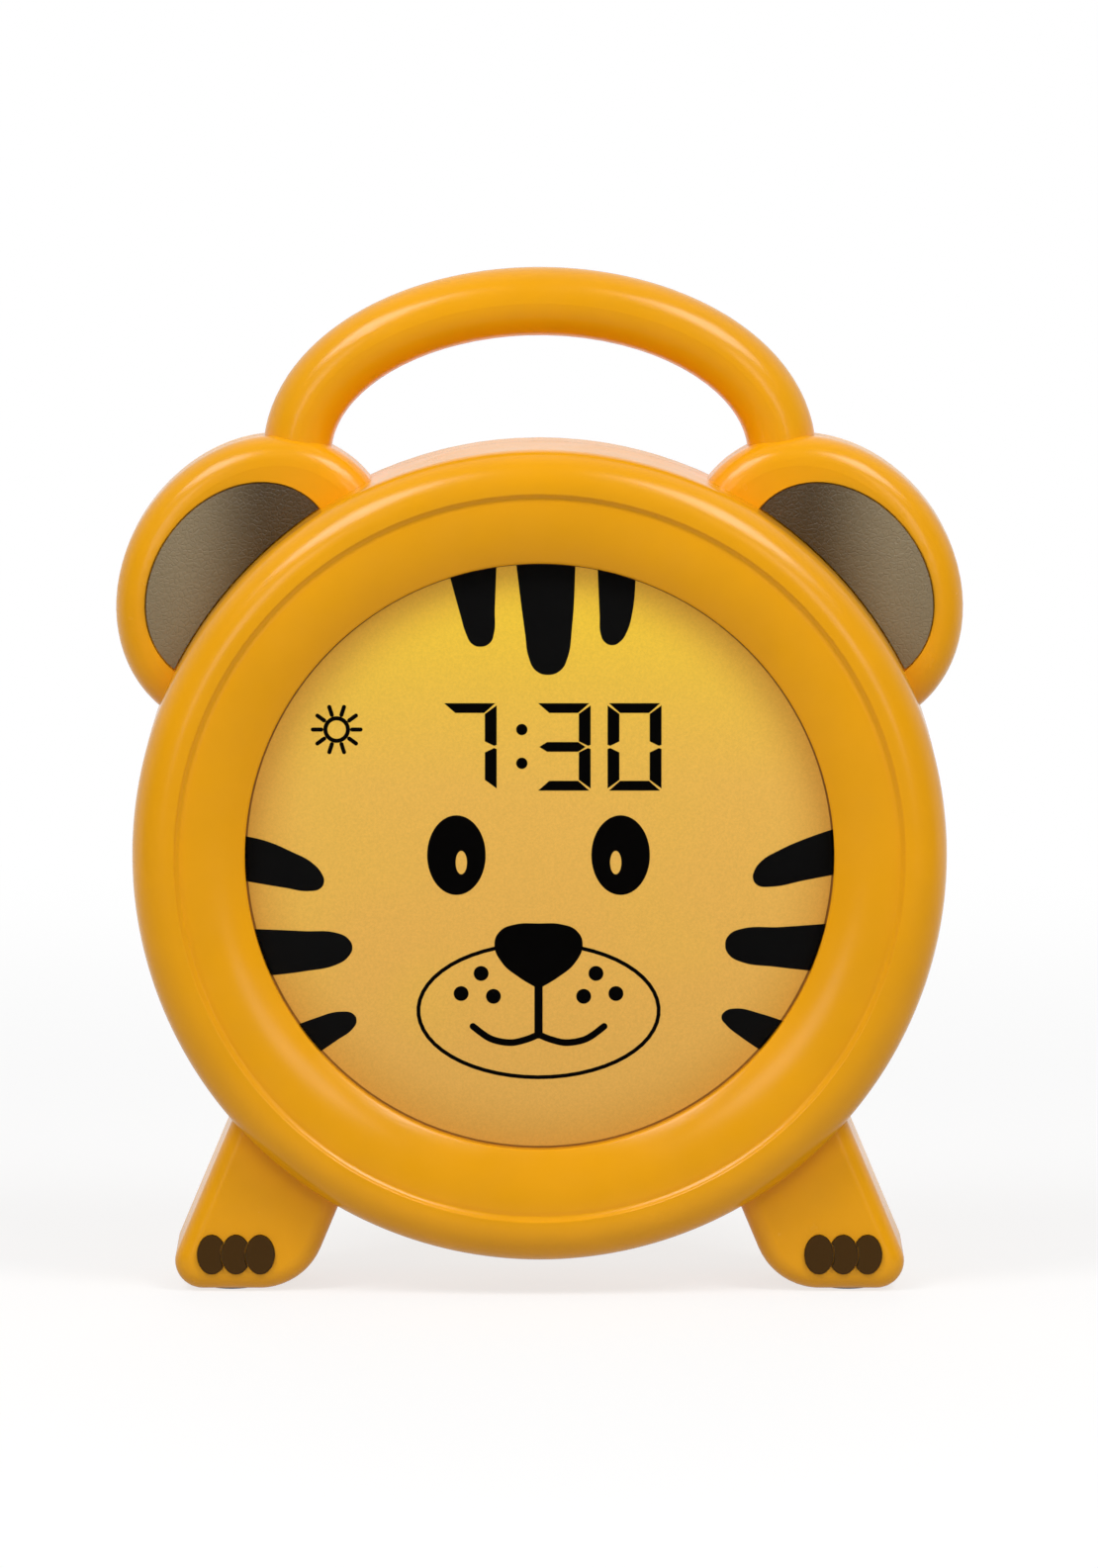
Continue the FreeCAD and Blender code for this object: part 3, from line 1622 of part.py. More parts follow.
def battery_springs(doc, d):
    """A conical spring of flat wire behind the base of each cell."""
    springs = []
    wire = d.plate_thickness.number
    length = d.spring_length.number
    outer = d.spring_wide.number
    inner = d.spring_narrow.number
    half = bay_half(d).number - d.plate_thickness.number
    for up, way in cell_spots(d):
        turns = 3
        pitch = (length - wire) / turns
        angle = math.degrees(math.atan((inner - outer) / (length - wire)))
        path = Part.makeHelix(pitch, length - wire, outer, angle)
        corner = outer - wire
        section = Part.makePolygon([
            FreeCAD.Vector(corner, 0, -wire / 2),
            FreeCAD.Vector(outer, 0, -wire / 2),
            FreeCAD.Vector(outer, 0, wire / 2),
            FreeCAD.Vector(corner, 0, wire / 2),
            FreeCAD.Vector(corner, 0, -wire / 2),
        ])
        coil = Part.Wire(path).makePipeShell([section], True, True)
        coil.translate(FreeCAD.Vector(0, 0, wire / 2))
        coil.rotate(FreeCAD.Vector(), FreeCAD.Vector(0, 1, 0), 90 * way)
        coil.translate(FreeCAD.Vector(-half * way, -cell_middle(d).number, up.number))
        springs.append(coil)
    item = doc.addObject("Part::Feature", "battery_springs")
    item.Label = "battery_springs"
    item.Shape = Part.makeCompound(springs)
    bind(item, "Placement.Base.z", d.drum_height)
    return item


def toe_pads(doc, d, name, side):
    """Three dark toes; each one covers the edge of its outer neighbour."""
    body = new_body(doc, name, d)
    start = d.leg_depth - d.toe_sunk
    for place in TOES:
        if place != TOES[0]:
            sketch = new_sketch(body, FACING, start)
            toe_outline(sketch, d, side, place, d.toe_seam)
            pocket(body, sketch, d.toe_sunk + d.toe_proud, True)
        sketch = new_sketch(body, FACING, start)
        toe_outline(sketch, d, side, place, 0)
        pad(body, sketch, d.toe_sunk + d.toe_proud)
    return body


def all_pieces(doc, d):
    makers = [
        front_shell,
        rear_shell,
        face_ring,
        rubber_feet,
        case_screws,
        screen_lens,
        face_film,
        lcd_panel,
        light_guide,
        zebra_strip,
        display_frame,
        frame_screws,
        main_board,
        board_screws,
        backlight_lamps,
        board_parts,
        speaker_basket,
        speaker_cone,
        speaker_magnet,
        speaker_screws,
        tact_switches,
        button_board,
        button_board_screws,
        slide_case,
        alarm_switch,
        power_socket,
        socket_nut,
        battery_door,
        door_screw,
        aa_cells,
        battery_plates,
        battery_springs,
    ]
    pieces = [make(doc, d) for make in makers]
    for side_name, side in SIDES.items():
        pieces.append(ear_inlay(doc, d, f"ear_inlay_{side_name}", side))
        pieces.append(toe_pads(doc, d, f"toe_pads_{side_name}", side))
    for name, x, y in button_spots(d):
        pieces.append(push_button(doc, d, name, x, y))
    return pieces


def write(doc, pieces):
    for item in doc.Objects:
        if "Invalid" in item.State or "Error" in item.State:
            raise RuntimeError(f"{item.Name} failed: {item.State}")
    os.makedirs("parts", exist_ok=True)
    for piece in pieces:
        shape = piece.Shape
        if shape.isNull() or not shape.isValid():
            raise RuntimeError(f"{piece.Label} isn't a valid solid")
        shape.exportStep(f"parts/{piece.Label}.step")
        print(piece.Label, len(shape.Solids), round(shape.Volume, 1))


def main():
    doc = FreeCAD.newDocument("kids_alarm_clock")
    pieces = all_pieces(doc, Sheet(doc))
    doc.recompute()
    write(doc, pieces)


main()
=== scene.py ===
import math

import bpy
from mathutils import Matrix, Vector


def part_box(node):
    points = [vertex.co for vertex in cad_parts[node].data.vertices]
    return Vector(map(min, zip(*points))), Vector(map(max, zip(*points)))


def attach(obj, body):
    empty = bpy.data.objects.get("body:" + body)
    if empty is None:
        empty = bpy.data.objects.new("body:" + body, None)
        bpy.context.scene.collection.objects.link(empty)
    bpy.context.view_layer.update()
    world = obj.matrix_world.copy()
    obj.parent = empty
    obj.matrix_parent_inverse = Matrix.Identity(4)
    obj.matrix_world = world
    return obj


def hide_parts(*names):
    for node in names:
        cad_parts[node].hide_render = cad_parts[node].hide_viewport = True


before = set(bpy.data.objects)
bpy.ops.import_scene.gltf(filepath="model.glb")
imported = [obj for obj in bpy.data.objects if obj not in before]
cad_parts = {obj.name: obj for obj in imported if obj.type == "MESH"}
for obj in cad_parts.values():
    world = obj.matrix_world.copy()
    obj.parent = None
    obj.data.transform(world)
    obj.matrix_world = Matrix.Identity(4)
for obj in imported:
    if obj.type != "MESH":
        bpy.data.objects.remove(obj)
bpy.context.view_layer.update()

MM = 0.001
CASE = "case"

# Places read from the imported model, in metres

LENS_LOW, LENS_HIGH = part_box("screen_lens")
FILM_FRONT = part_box("face_film")[0][1]
AXIS = (LENS_LOW[2] + LENS_HIGH[2]) / 2
LENS_RADIUS = (LENS_HIGH[2] - LENS_LOW[2]) / 2
LENS_FRONT = LENS_LOW[1]

# Radius of the display, as far as the face ring leaves it open
SCREEN_RADIUS = 57.4 * MM

# The drawing on the display, in millimetres from the middle of the display

INK = 0.04
INK_LIFT = 0.02
FACE_MIDDLE = -0.2

DIGIT_WIDE = 10.5
DIGIT_TALL = 17.1
DIGIT_FOOT = 12.75
DIGIT_LEFTS = {"seven": -18.85, "three": -0.55, "zero": 13.25}
DIGIT_PARTS = {
    "seven": ["top", "upper_right", "lower_right"],
    "three": ["top", "upper_right", "middle", "lower_right", "bottom"],
    "zero": ["top", "upper_left", "upper_right", "lower_left", "lower_right", "bottom"],
}
BAR = 1.9
POST = 2.3
SLIT = 0.14
TIP = 0.5
COLON_OUT = -3.45
COLON_HEIGHTS = (24.7, 18.1)
COLON_RADIUS = 1.1

SUN_OUT = -39.5
SUN_UP = 24.7
SUN_RING = 2.2
SUN_REACH = 4.65
SUN_STROKE = 0.8
SUN_RAYS = 10

EYE_OUT = 16.0
EYE_UP = 0.1
EYE_WIDE = 5.7
EYE_TALL = 7.8
GLINT_WIDE = 1.1
GLINT_TALL = 2.3
GLINT_IN = 0.95
GLINT_DOWN = -1.45

MUZZLE_UP = -30.4
MUZZLE_WIDE = 23.45
MUZZLE_TALL = 13.1
MUZZLE_STROKE = 0.75
MUZZLE_STEPS = 48
MUZZLE_GAP = 20.5
MOUTH_STROKE = 1.3
STEM_WIDE = 1.6
STEM_LIFT = 0.01
NOSE_LIFT = 0.02
DOT_RADIUS = 1.45
DOTS = [(11.2, -23.1), (15.1, -27.05), (8.8, -27.6)]

# Half of the nose, from the middle of its top to where the stem begins
NOSE = [(0, -13.3), (4.6, -13.5), (7.4, -14.7), (8.6, -17.3), (7.2, -20.9), (3.6, -24), (0.8, -25.7)]

# Half of the mouth, from the middle outwards
MOUTH = [(0, -35.1), (2.5, -36.1), (5.6, -36.7), (9.4, -35.9), (12.8, -33.5)]

# Each stripe: its two ends under the face ring and the rounded tip between them
STRIPES = {
    "top_middle": [
        (-4.9, 60), (-2.8, 43.4), (-2.1, 38.8), (-0.8, 36.3), (1.5, 35.4),
        (4.1, 36.3), (5.4, 38.6), (6.3, 44.5), (7.1, 60),
    ],
    "top_left": [
        (-18.2, 57.5), (-15.5, 47.5), (-14.2, 43.2), (-13.2, 41.5), (-11.6, 40.9),
        (-9.7, 41.6), (-8.9, 43.4), (-8.7, 48.3), (-8.3, 59),
    ],
    "top_right": [
        (11.2, 59), (11.7, 47), (11.9, 43.4), (12.7, 41.8), (14.2, 41.2),
        (15.7, 41.9), (16.9, 43.6), (18.1, 47.8), (18.8, 56.5),
    ],
    "left_upper": [
        (-60, 4.3), (-53.4, 2.9), (-48.6, 0.9), (-44.2, -1.5), (-42.4, -3.6),
        (-42, -5.1), (-42.7, -6.4), (-45, -6.95), (-49.6, -6.3), (-60, -4.5),
    ],
    "left_middle": [
        (-58, -14.3), (-46, -14.8), (-39.4, -15.2), (-37.3, -16.3), (-36.5, -18),
        (-37.2, -19.7), (-39.2, -21.2), (-46, -22.7), (-56, -23.8),
    ],
    "left_lower": [
        (-52, -35.3), (-43.8, -31.9), (-38.6, -30.6), (-36.3, -31.1),
        (-35.7, -32.4), (-36.5, -34), (-39.5, -36.2), (-46, -40.6),
    ],
    "right_upper": [
        (60, 6.1), (51.8, 3.3), (46.6, 1), (43.2, -1.1), (41.8, -3.1),
        (41.6, -4.5), (42.5, -5.8), (44.9, -6.1), (51.8, -4.8), (60, -3.2),
    ],
    "right_middle": [
        (58, -13.2), (47, -14), (39.2, -14.4), (37, -15.5), (36.2, -17.4),
        (36.9, -19.4), (39.2, -20.8), (46, -21.8), (56, -22.9),
    ],
    "right_lower": [
        (52, -34.2), (43.1, -31), (38, -30), (36, -30.7),
        (35.5, -31.8), (36.3, -33.1), (39.3, -35.6), (46, -40),
    ],
}

# Raised signs on the buttons at the back, in millimetres

SIGN_THICK = 0.5
SIGN_LIFT = 0.1
SIGN_REACH = 2.2
SIGN_STROKE = 0.6
SIGN_RAYS = 8
SIGN_STEPS = 16
BELL = [(0, 2.1), (1.2, 1.3), (1.4, -0.3), (2.1, -1.3), (-2.1, -1.3), (-1.4, -0.3), (-1.2, 1.3)]
BELL_CORNERS = (3, 4)
CLAPPER = 0.45
CLAPPER_DROP = 0.72
MOON_OPEN = 60

# Shares of a sign's reach, and of its stroke for the rays
TRIANGLE_FOOT = 0.6
LAMP_SIZE = 0.45
RAY_START = 0.75
RAY_STROKE = 0.7
MOON_ASIDE = 0.8


# Colours, as they look on the screen

def linear(red, green, blue):
    """A colour written as 0 to 255, turned into what a shader takes."""
    values = []
    for part in (red, green, blue):
        share = part / 255
        values.append(share / 12.92 if share <= 0.04045 else ((share + 0.055) / 1.055) ** 2.4)
    return (values[0], values[1], values[2], 1.0)


ORANGE = linear(244, 168, 4)
INK_BLACK = linear(3, 2, 2)
STRIPE_BLACK = linear(14, 14, 15)
# Ear brown is the skin darkened by painted shade near the face ring; the ear highlight is a painted
# highlight for their outer side
EAR_BROWN = linear(74, 56, 26)
EAR_HIGHLIGHT = linear(140, 124, 94)
TOE_BROWN = linear(72, 47, 10)
BUTTON_BROWN = linear(92, 62, 24)
SIGN_CREAM = linear(240, 205, 130)


# Small helpers for node trees

WHITE = (1.0, 1.0, 1.0, 1.0)

# Sockets of a Mix node that mixes colours
MIX_SHARE = 0
MIX_LOW = 6
MIX_HIGH = 7
MIX_RESULT = 2

# Noise rarely leaves the values between these
NOISE_LOW = 0.25
NOISE_HIGH = 0.75


def new_tree(name):
    material = bpy.data.materials.new(name)
    material.use_nodes = True
    tree = material.node_tree
    tree.nodes.clear()
    return material, tree


def node(tree, kind, **values):
    """A node of that kind; a value named after a socket goes there, else to the node."""
    made = tree.nodes.new("ShaderNode" + kind)
    for key, value in values.items():
        socket = made.inputs.get(key.replace("_", " ").title().replace("Ior", "IOR"))
        if socket is not None:
            socket.default_value = value
        else:
            setattr(made, key, value)
    return made


def join(tree, source, output, target, socket):
    tree.links.new(source.outputs[output], target.inputs[socket])


def feed(tree, value, socket):
    """Gives an input a plain colour, or joins it to the output of another node."""
    if isinstance(value, tuple):
        socket.default_value = value
    else:
        tree.links.new(value, socket)


def place_of(tree):
    """The place on the object, in metres of the model."""
    return node(tree, "TexCoord")


def axes_of(tree):
    """The place on the object, split into X, Y and Z."""
    axes = node(tree, "SeparateXYZ")
    join(tree, place_of(tree), "Object", axes, "Vector")
    return axes


def noise(tree, size, detail=2.0):
    """Noise whose blots are about that many millimetres across."""
    made = node(tree, "TexNoise", scale=1 / (size * MM), detail=detail, roughness=0.5)
    join(tree, place_of(tree), "Object", made, "Vector")
    return made


def map_range(tree, source, output, low, high, to_low=0.0, to_high=1.0, smooth=False):
    """A value between low and high, mapped to run from to_low to to_high."""
    kind = "SMOOTHSTEP" if smooth else "LINEAR"
    made = node(tree, "MapRange", clamp=True, interpolation_type=kind)
    made.inputs["From Min"].default_value = low
    made.inputs["From Max"].default_value = high
    made.inputs["To Min"].default_value = to_low
    made.inputs["To Max"].default_value = to_high
    join(tree, source, output, made, "Value")
    return made


def spread(tree, source, low, high):
    """Noise stretched to run from low to high."""
    return map_range(tree, source, "Fac", NOISE_LOW, NOISE_HIGH, low, high)


def combined(tree, operation, *sources):
    """Arithmetic on values, each given as a node and the name of its output."""
    made = node(tree, "Math", operation=operation)
    for place, (source, output) in enumerate(sources):
        join(tree, source, output, made, place)
    return made


def mix_colours(tree, share, low, high):
    """Runs from one colour to the other as the share grows from 0 to 1."""
    made = node(tree, "Mix", data_type="RGBA")
    join(tree, share, "Result", made, MIX_SHARE)
    feed(tree, low, made.inputs[MIX_LOW])
    feed(tree, high, made.inputs[MIX_HIGH])
    return made.outputs[MIX_RESULT]


def multiply(tree, first, second):
    """One colour multiplied by another."""
    made = node(tree, "Mix", data_type="RGBA", blend_type="MULTIPLY")
    made.inputs[MIX_SHARE].default_value = 1
    feed(tree, first, made.inputs[MIX_LOW])
    feed(tree, second, made.inputs[MIX_HIGH])
    return made.outputs[MIX_RESULT]


def shade(colour, amount):
    return (colour[0] * amount, colour[1] * amount, colour[2] * amount, 1.0)


def add_bump(tree, shader, source, output, distance, strength=1.0, earlier=None):
    """Relief of that many millimetres, laid over an earlier one where there is one."""
    made = node(tree, "Bump", strength=strength, distance=distance * MM)
    join(tree, source, output, made, "Height")
    if earlier is not None:
        join(tree, earlier, "Normal", made, "Normal")
    join(tree, made, "Normal", shader, "Normal")
    return made


def principled(tree):
    shader = node(tree, "BsdfPrincipled")
    end = node(tree, "OutputMaterial")
    join(tree, shader, "BSDF", end, "Surface")
    return shader


# Materials, with sizes of their marks in millimetres

PLASTIC_GLOSS = 0.42
INK_GLOSS = 0.05
CLOUD_SIZE = 26
POLISH_SIZE = 7

SEAM_WIDE = 0.22
SEAM_DEPTH = 0.12
SEAM_SHADE = 0.25

LEATHER_CELL = 0.95
LEATHER_PIT = 0.5
LEATHER_CLOUD = 9
CREASE_WIDE = 0.18
CREASE_DEPTH = 0.06
PIT_DEPTH = 0.03
# Distances from the middle over which the ears' painted shade turns into painted highlight
HIGHLIGHT_FROM = 52.0
HIGHLIGHT_TO = 71.0

# Colours of the lit film from its foot to its top
FILM_STOPS = [
    (0.00, linear(212, 163, 80)),
    (0.35, linear(222, 172, 82)),
    (0.62, linear(226, 178, 82)),
    (0.80, linear(230, 188, 68)),
    (1.00, linear(240, 202, 50)),
]
FILM_RIM = linear(200, 146, 58)
FILM_PATCH = linear(222, 184, 66)
FILM_LIGHT = 0.455
FILM_PAINT = 0.74
SPECKLE_SIZE = 0.45
PATCH_SIZE = 30
PATCH_FROM = 0.48
PATCH_TO = 0.75
PATCH_MOST = 0.25

# Where the film's darker rim begins and ends, as shares of its radius
RIM_FROM = 0.80
RIM_TO = 1.02
RIM_MOST = 0.75

WINDOW_GLOSS = 0.05
WINDOW_TINT = (0.99, 0.985, 0.97, 1)


def moulded(name, colour, gloss, grain=0.6, depth=0.002, variation=0.05, seam=False, level=PLASTIC_GLOSS):
    """Moulded plastic: cloudy colour, uneven polish and a fine skin."""
    material, tree = new_tree(name)
    shader = principled(tree)
    shader.inputs["Specular IOR Level"].default_value = level
    clouds = spread(tree, noise(tree, CLOUD_SIZE, 3.0), 0, 1)
    surface = mix_colours(tree, clouds, shade(colour, 1 - variation), shade(colour, 1 + variation))
    polish = spread(tree, noise(tree, POLISH_SIZE, 4.0), gloss - 0.03, gloss + 0.05)
    join(tree, polish, "Result", shader, "Roughness")
    skin = add_bump(tree, shader, noise(tree, grain), "Fac", depth)
    if seam:
        surface = draw_seam(tree, shader, surface, skin)
    tree.links.new(surface, shader.inputs["Base Color"])
    return material


def draw_seam(tree, shader, colour, skin):
    """The fine joint between the two halves of the case, at the parting plane."""
    away = combined(tree, "ABSOLUTE", (axes_of(tree), "Y"))
    line = map_range(tree, away, "Value", 0, SEAM_WIDE * MM, smooth=True)
    add_bump(tree, shader, line, "Result", SEAM_DEPTH, 1.0, skin)
    dark = mix_colours(tree, line, shade(WHITE, SEAM_SHADE), WHITE)
    return multiply(tree, colour, dark)


def printed(name, colour):
    """Matt printing ink."""
    return moulded(name, colour, 0.5, 0.3, 0.003, 0.15, level=INK_GLOSS)


def leather_like(name, colour, highlight_colour):
    """The dark inner ears: a matt skin with a fine leather grain, with painted shade darker near the face
    ring and a painted highlight paler towards the outer side.
    """
    material, tree = new_tree(name)
    shader = principled(tree)
    cells = node(tree, "TexVoronoi", scale=1 / (LEATHER_CELL * MM), feature="DISTANCE_TO_EDGE")
    join(tree, place_of(tree), "Object", cells, "Vector")
    pits = noise(tree, LEATHER_PIT, 3.0)
    clouds = spread(tree, noise(tree, LEATHER_CLOUD, 4.0), 0, 1)
    skin = mix_colours(tree, clouds, shade(colour, 0.9), shade(colour, 1.1))
    # Painted shade near the face ring, painted highlight towards the outer side
    shaded_and_lit = mix_colours(tree, painted_light_share(tree), skin, highlight_colour)
    tree.links.new(shaded_and_lit, shader.inputs["Base Color"])
    polish = spread(tree, pits, 0.38, 0.55)
    join(tree, polish, "Result", shader, "Roughness")
    creases = map_range(tree, cells, "Distance", 0, CREASE_WIDE)
    first = add_bump(tree, shader, creases, "Result", CREASE_DEPTH)
    add_bump(tree, shader, pits, "Fac", PIT_DEPTH, 0.8, first)
    return material


def painted_light_share(tree):
    """Share of the painted light: 0 in the painted shade near the face ring, growing to 1 in the painted
    highlight towards the outer side of either ear.
    """
    aside = combined(tree, "ABSOLUTE", (axes_of(tree), "X"))
    return map_range(tree, aside, "Value", HIGHLIGHT_FROM * MM, HIGHLIGHT_TO * MM, smooth=True)


def film_colour(tree, axes):
    """The colour of the lit film at its height."""
    height = map_range(tree, axes, "Z", AXIS - SCREEN_RADIUS, AXIS + SCREEN_RADIUS)
    ramp = node(tree, "ValToRGB")
    stops = ramp.color_ramp.elements
    stops[0].position, stops[0].color = FILM_STOPS[0]
    stops[1].position, stops[1].color = FILM_STOPS[-1]
    for place, colour in FILM_STOPS[1:-1]:
        stops.new(place).color = colour
    join(tree, height, "Result", ramp, "Fac")
    return ramp.outputs["Color"]


def rim_share(tree, axes):
    """How near the place is to the edge of the display: 0 well inside, most at the edge."""
    up = combined(tree, "SUBTRACT", (axes, "Z"))
    up.inputs[1].default_value = AXIS
    flat = node(tree, "CombineXYZ")
    join(tree, axes, "X", flat, "X")
    join(tree, up, "Value", flat, "Z")
    reach = node(tree, "VectorMath", operation="LENGTH")
    join(tree, flat, "Vector", reach, 0)
    first = SCREEN_RADIUS * RIM_FROM
    last = SCREEN_RADIUS * RIM_TO
    return map_range(tree, reach, "Value", first, last, 0, RIM_MOST, smooth=True)


def lit_film(name):
    """The translucent film, evenly lit from behind and brightest at its top."""
    material, tree = new_tree(name)
    shader = principled(tree)
    axes = axes_of(tree)
    patches = map_range(tree, noise(tree, PATCH_SIZE, 1.0), "Fac", PATCH_FROM, PATCH_TO, 0, PATCH_MOST)
    patched = mix_colours(tree, patches, film_colour(tree, axes), FILM_PATCH)
    rimmed = mix_colours(tree, rim_share(tree, axes), patched, FILM_RIM)
    speckle = spread(tree, noise(tree, SPECKLE_SIZE), 0.93, 1.05)
    grained = multiply(tree, rimmed, speckle.outputs["Result"])
    paint = multiply(tree, grained, shade(WHITE, FILM_PAINT))
    tree.links.new(paint, shader.inputs["Base Color"])
    tree.links.new(grained, shader.inputs["Emission Color"])
    shader.inputs["Emission Strength"].default_value = FILM_LIGHT
    shader.inputs["Roughness"].default_value = 0.62
    shader.inputs["Specular IOR Level"].default_value = 0.2
    return material


def clear_window(name):
    """Clear moulded acrylic, seen as what lies behind it plus its own reflections."""
    material, tree = new_tree(name)
    clear = node(tree, "BsdfTransparent", color=WINDOW_TINT)
    gloss = node(tree, "BsdfGlossy")
    polish = spread(tree, noise(tree, 3, 3.0), 0.10, 0.16)
    join(tree, polish, "Result", gloss, "Roughness")
    amount = node(tree, "LayerWeight", blend=WINDOW_GLOSS)
    both = node(tree, "MixShader")
    join(tree, amount, "Facing", both, 0)
    join(tree, clear, "BSDF", both, 1)
    join(tree, gloss, "BSDF", both, 2)
    end = node(tree, "OutputMaterial")
    join(tree, both, "Shader", end, "Surface")
    return material


def metal(name, colour, polish):
    """Plated or drawn metal with fine streaks and uneven polish."""
    material, tree = new_tree(name)
    shader = principled(tree)
    shader.inputs["Metallic"].default_value = 1
    streaks = noise(tree, 1.2, 5.0)
    surface = mix_colours(tree, spread(tree, streaks, 0, 1), shade(colour, 0.85), shade(colour, 1.1))
    tree.links.new(surface, shader.inputs["Base Color"])
    rough = spread(tree, streaks, polish - 0.08, polish + 0.1)
    join(tree, rough, "Result", shader, "Roughness")
    add_bump(tree, shader, noise(tree, 0.3, 3.0), "Fac", 0.004)
    return material


def dress(names, material):
    """Gives CAD nodes their material."""
    for name in names:
        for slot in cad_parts[name].material_slots:
            slot.material = material


# Shapes drawn flat and given the thickness of ink

# How far the handles reach where four curves make a circle of radius 1
CIRCLE_BEND = 0.5523
CURVE_STEPS = 16


def smooth_spline(curve, points, corners):
    """A closed curve through the points; it turns sharply only at the named corners."""
    spline = curve.splines.new("BEZIER")
    spline.bezier_points.add(len(points) - 1)
    for place, (x, z) in enumerate(points):
        point = spline.bezier_points[place]
        point.co = (x * MM, z * MM, 0)
        kind = "VECTOR" if place in corners else "AUTO"
        point.handle_left_type = kind
        point.handle_right_type = kind
    spline.use_cyclic_u = True


def flat_curve(name):
    curve = bpy.data.curves.new(name, "CURVE")
    curve.dimensions = "2D"
    curve.fill_mode = "BOTH"
    curve.resolution_u = CURVE_STEPS
    return curve


def solid_of(name, curve, thickness):
    """The flat drawing as a mesh of that thickness, still lying flat."""
    curve.extrude = thickness * MM / 2
    drawn = bpy.data.objects.new(name + "_drawing", curve)
    bpy.context.scene.collection.objects.link(drawn)
    bpy.context.view_layer.update()
    final = drawn.evaluated_get(bpy.context.evaluated_depsgraph_get())
    mesh = bpy.data.meshes.new_from_object(final)
    bpy.data.objects.remove(drawn)
    return mesh


def ellipse(curve, out, up, wide, tall):
    """A full ellipse from four points with its exact handles."""
    spline = curve.splines.new("BEZIER")
    spline.bezier_points.add(3)
    turns = [(1, 0), (0, 1), (-1, 0), (0, -1)]
    for place, (cos, sin) in enumerate(turns):
        point = spline.bezier_points[place]
        point.handle_left_type = "FREE"
        point.handle_right_type = "FREE"
        point.co = ((out + wide * cos) * MM, (up + tall * sin) * MM, 0)
        swing = Vector((-sin * wide, cos * tall, 0)) * CIRCLE_BEND * MM
        point.handle_left = point.co - swing
        point.handle_right = point.co + swing
    spline.use_cyclic_u = True


def band(curve, points, width, steps=10):
    """A line of even width with round ends, drawn along a smooth path."""
    path = smooth_path(points, steps)
    half = width / 2
    left = []
    right = []
    for place, here in enumerate(path):
        before = path[max(place - 1, 0)]
        after = path[min(place + 1, len(path) - 1)]
        along = (after - before).normalized()
        side = Vector((-along.y, along.x)) * half
        left.append(here + side)
        right.append(here - side)
    outline = left + round_end(path[-1], left[-1], half)
    outline += right[::-1] + round_end(path[0], right[0], half)
    polygon(curve, outline)


def round_end(middle, start, radius, steps=8):
    """Points of a half circle, clockwise from start round middle."""
    begin = math.atan2(start.y - middle.y, start.x - middle.x)
    turns = [begin - math.pi * step / steps for step in range(1, steps)]
    return [middle + Vector((math.cos(turn), math.sin(turn))) * radius for turn in turns]


def smooth_path(points, steps):
    """Points on a smooth line through the given ones."""
    marks = [Vector(point) for point in points]
    if len(marks) == 2:
        return marks
    path = []
    for place in range(len(marks) - 1):
        before = marks[max(place - 1, 0)]
        here = marks[place]
        after = marks[place + 1]
        beyond = marks[min(place + 2, len(marks) - 1)]
        for step in range(steps):
            part = step / steps
            path.append(blended(before, here, after, beyond, part))
    path.append(marks[-1])
    return path


def blended(before, here, after, beyond, part):
    """A point of the smooth line between here and after."""
    start = (after - before) / 2
    end = (beyond - here) / 2
    square = part * part
    cube = square * part
    return (
        here * (2 * cube - 3 * square + 1)
        + start * (cube - 2 * square + part)
        + after * (3 * square - 2 * cube)
        + end * (cube - square)
    )


def polygon(curve, corners):
    spline = curve.splines.new("POLY")
    spline.points.add(len(corners) - 1)
    for point, (x, z) in zip(spline.points, corners):
        point.co = (x * MM, z * MM, 0, 1)
    spline.use_cyclic_u = True


def ink_piece(name, curve, material, lift=0.0):
    """A drawing on the film, in front of it and behind the window."""
    mesh = solid_of(name, curve, INK)
    front = FILM_FRONT - (INK / 2 + INK_LIFT + lift) * MM
    mesh.transform(Matrix.Translation((0, front, AXIS)) @ Matrix.Rotation(math.pi / 2, 4, "X"))
    keep(name, mesh, material, CASE)


def keep(name, mesh, material, body):
    """Puts a finished mesh into the scene, on the body that it moves with."""
    mesh.name = name
    mesh.materials.clear()
    mesh.materials.append(material)
    piece = bpy.data.objects.new(name, mesh)
    bpy.context.scene.collection.objects.link(piece)
    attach(piece, body)
    return piece


# The drawing on the display

def draw_stripes(ink):
    for name, points in STRIPES.items():
        curve = flat_curve(name)
        smooth_spline(curve, points, (0, len(points) - 1))
        ink_piece("stripe_" + name, curve, ink)


def digit_outlines(left):
    """Corners of the seven bars of a digit whose lower left corner is at left."""
    foot = DIGIT_FOOT
    head = foot + DIGIT_TALL
    waist = foot + DIGIT_TALL / 2
    right = left + DIGIT_WIDE
    shapes = {}
    for name, edge, inward in (("top", head, -1), ("bottom", foot, 1)):
        inner = edge + BAR * inward
        shapes[name] = [
            (left + SLIT * 2, edge),
            (right - SLIT * 2, edge),
            (right - POST - SLIT, inner),
            (left + POST + SLIT, inner),
        ]
    shapes["middle"] = [
        (left + TIP, waist),
        (left + TIP + BAR * 0.8, waist + BAR / 2),
        (right - POST - SLIT, waist + BAR / 2),
        (right - TIP * 2, waist),
        (right - POST - SLIT, waist - BAR / 2),
        (left + TIP + BAR * 0.8, waist - BAR / 2),
    ]
    for side, outer, inward in (("left", left, 1), ("right", right, -1)):
        inner = outer + POST * inward
        for part, edge, down in (("upper", head, -1), ("lower", foot, 1)):
            shapes[f"{part}_{side}"] = [
                (outer, edge + SLIT * 3 * down),
                (inner, edge + (BAR + SLIT * 1.5) * down),
                (inner, waist - (BAR / 2 + SLIT) * down),
                (outer + TIP * inward, waist - SLIT * 1.5 * down),
                (outer, waist - SLIT * 3 * down),
            ]
    return shapes


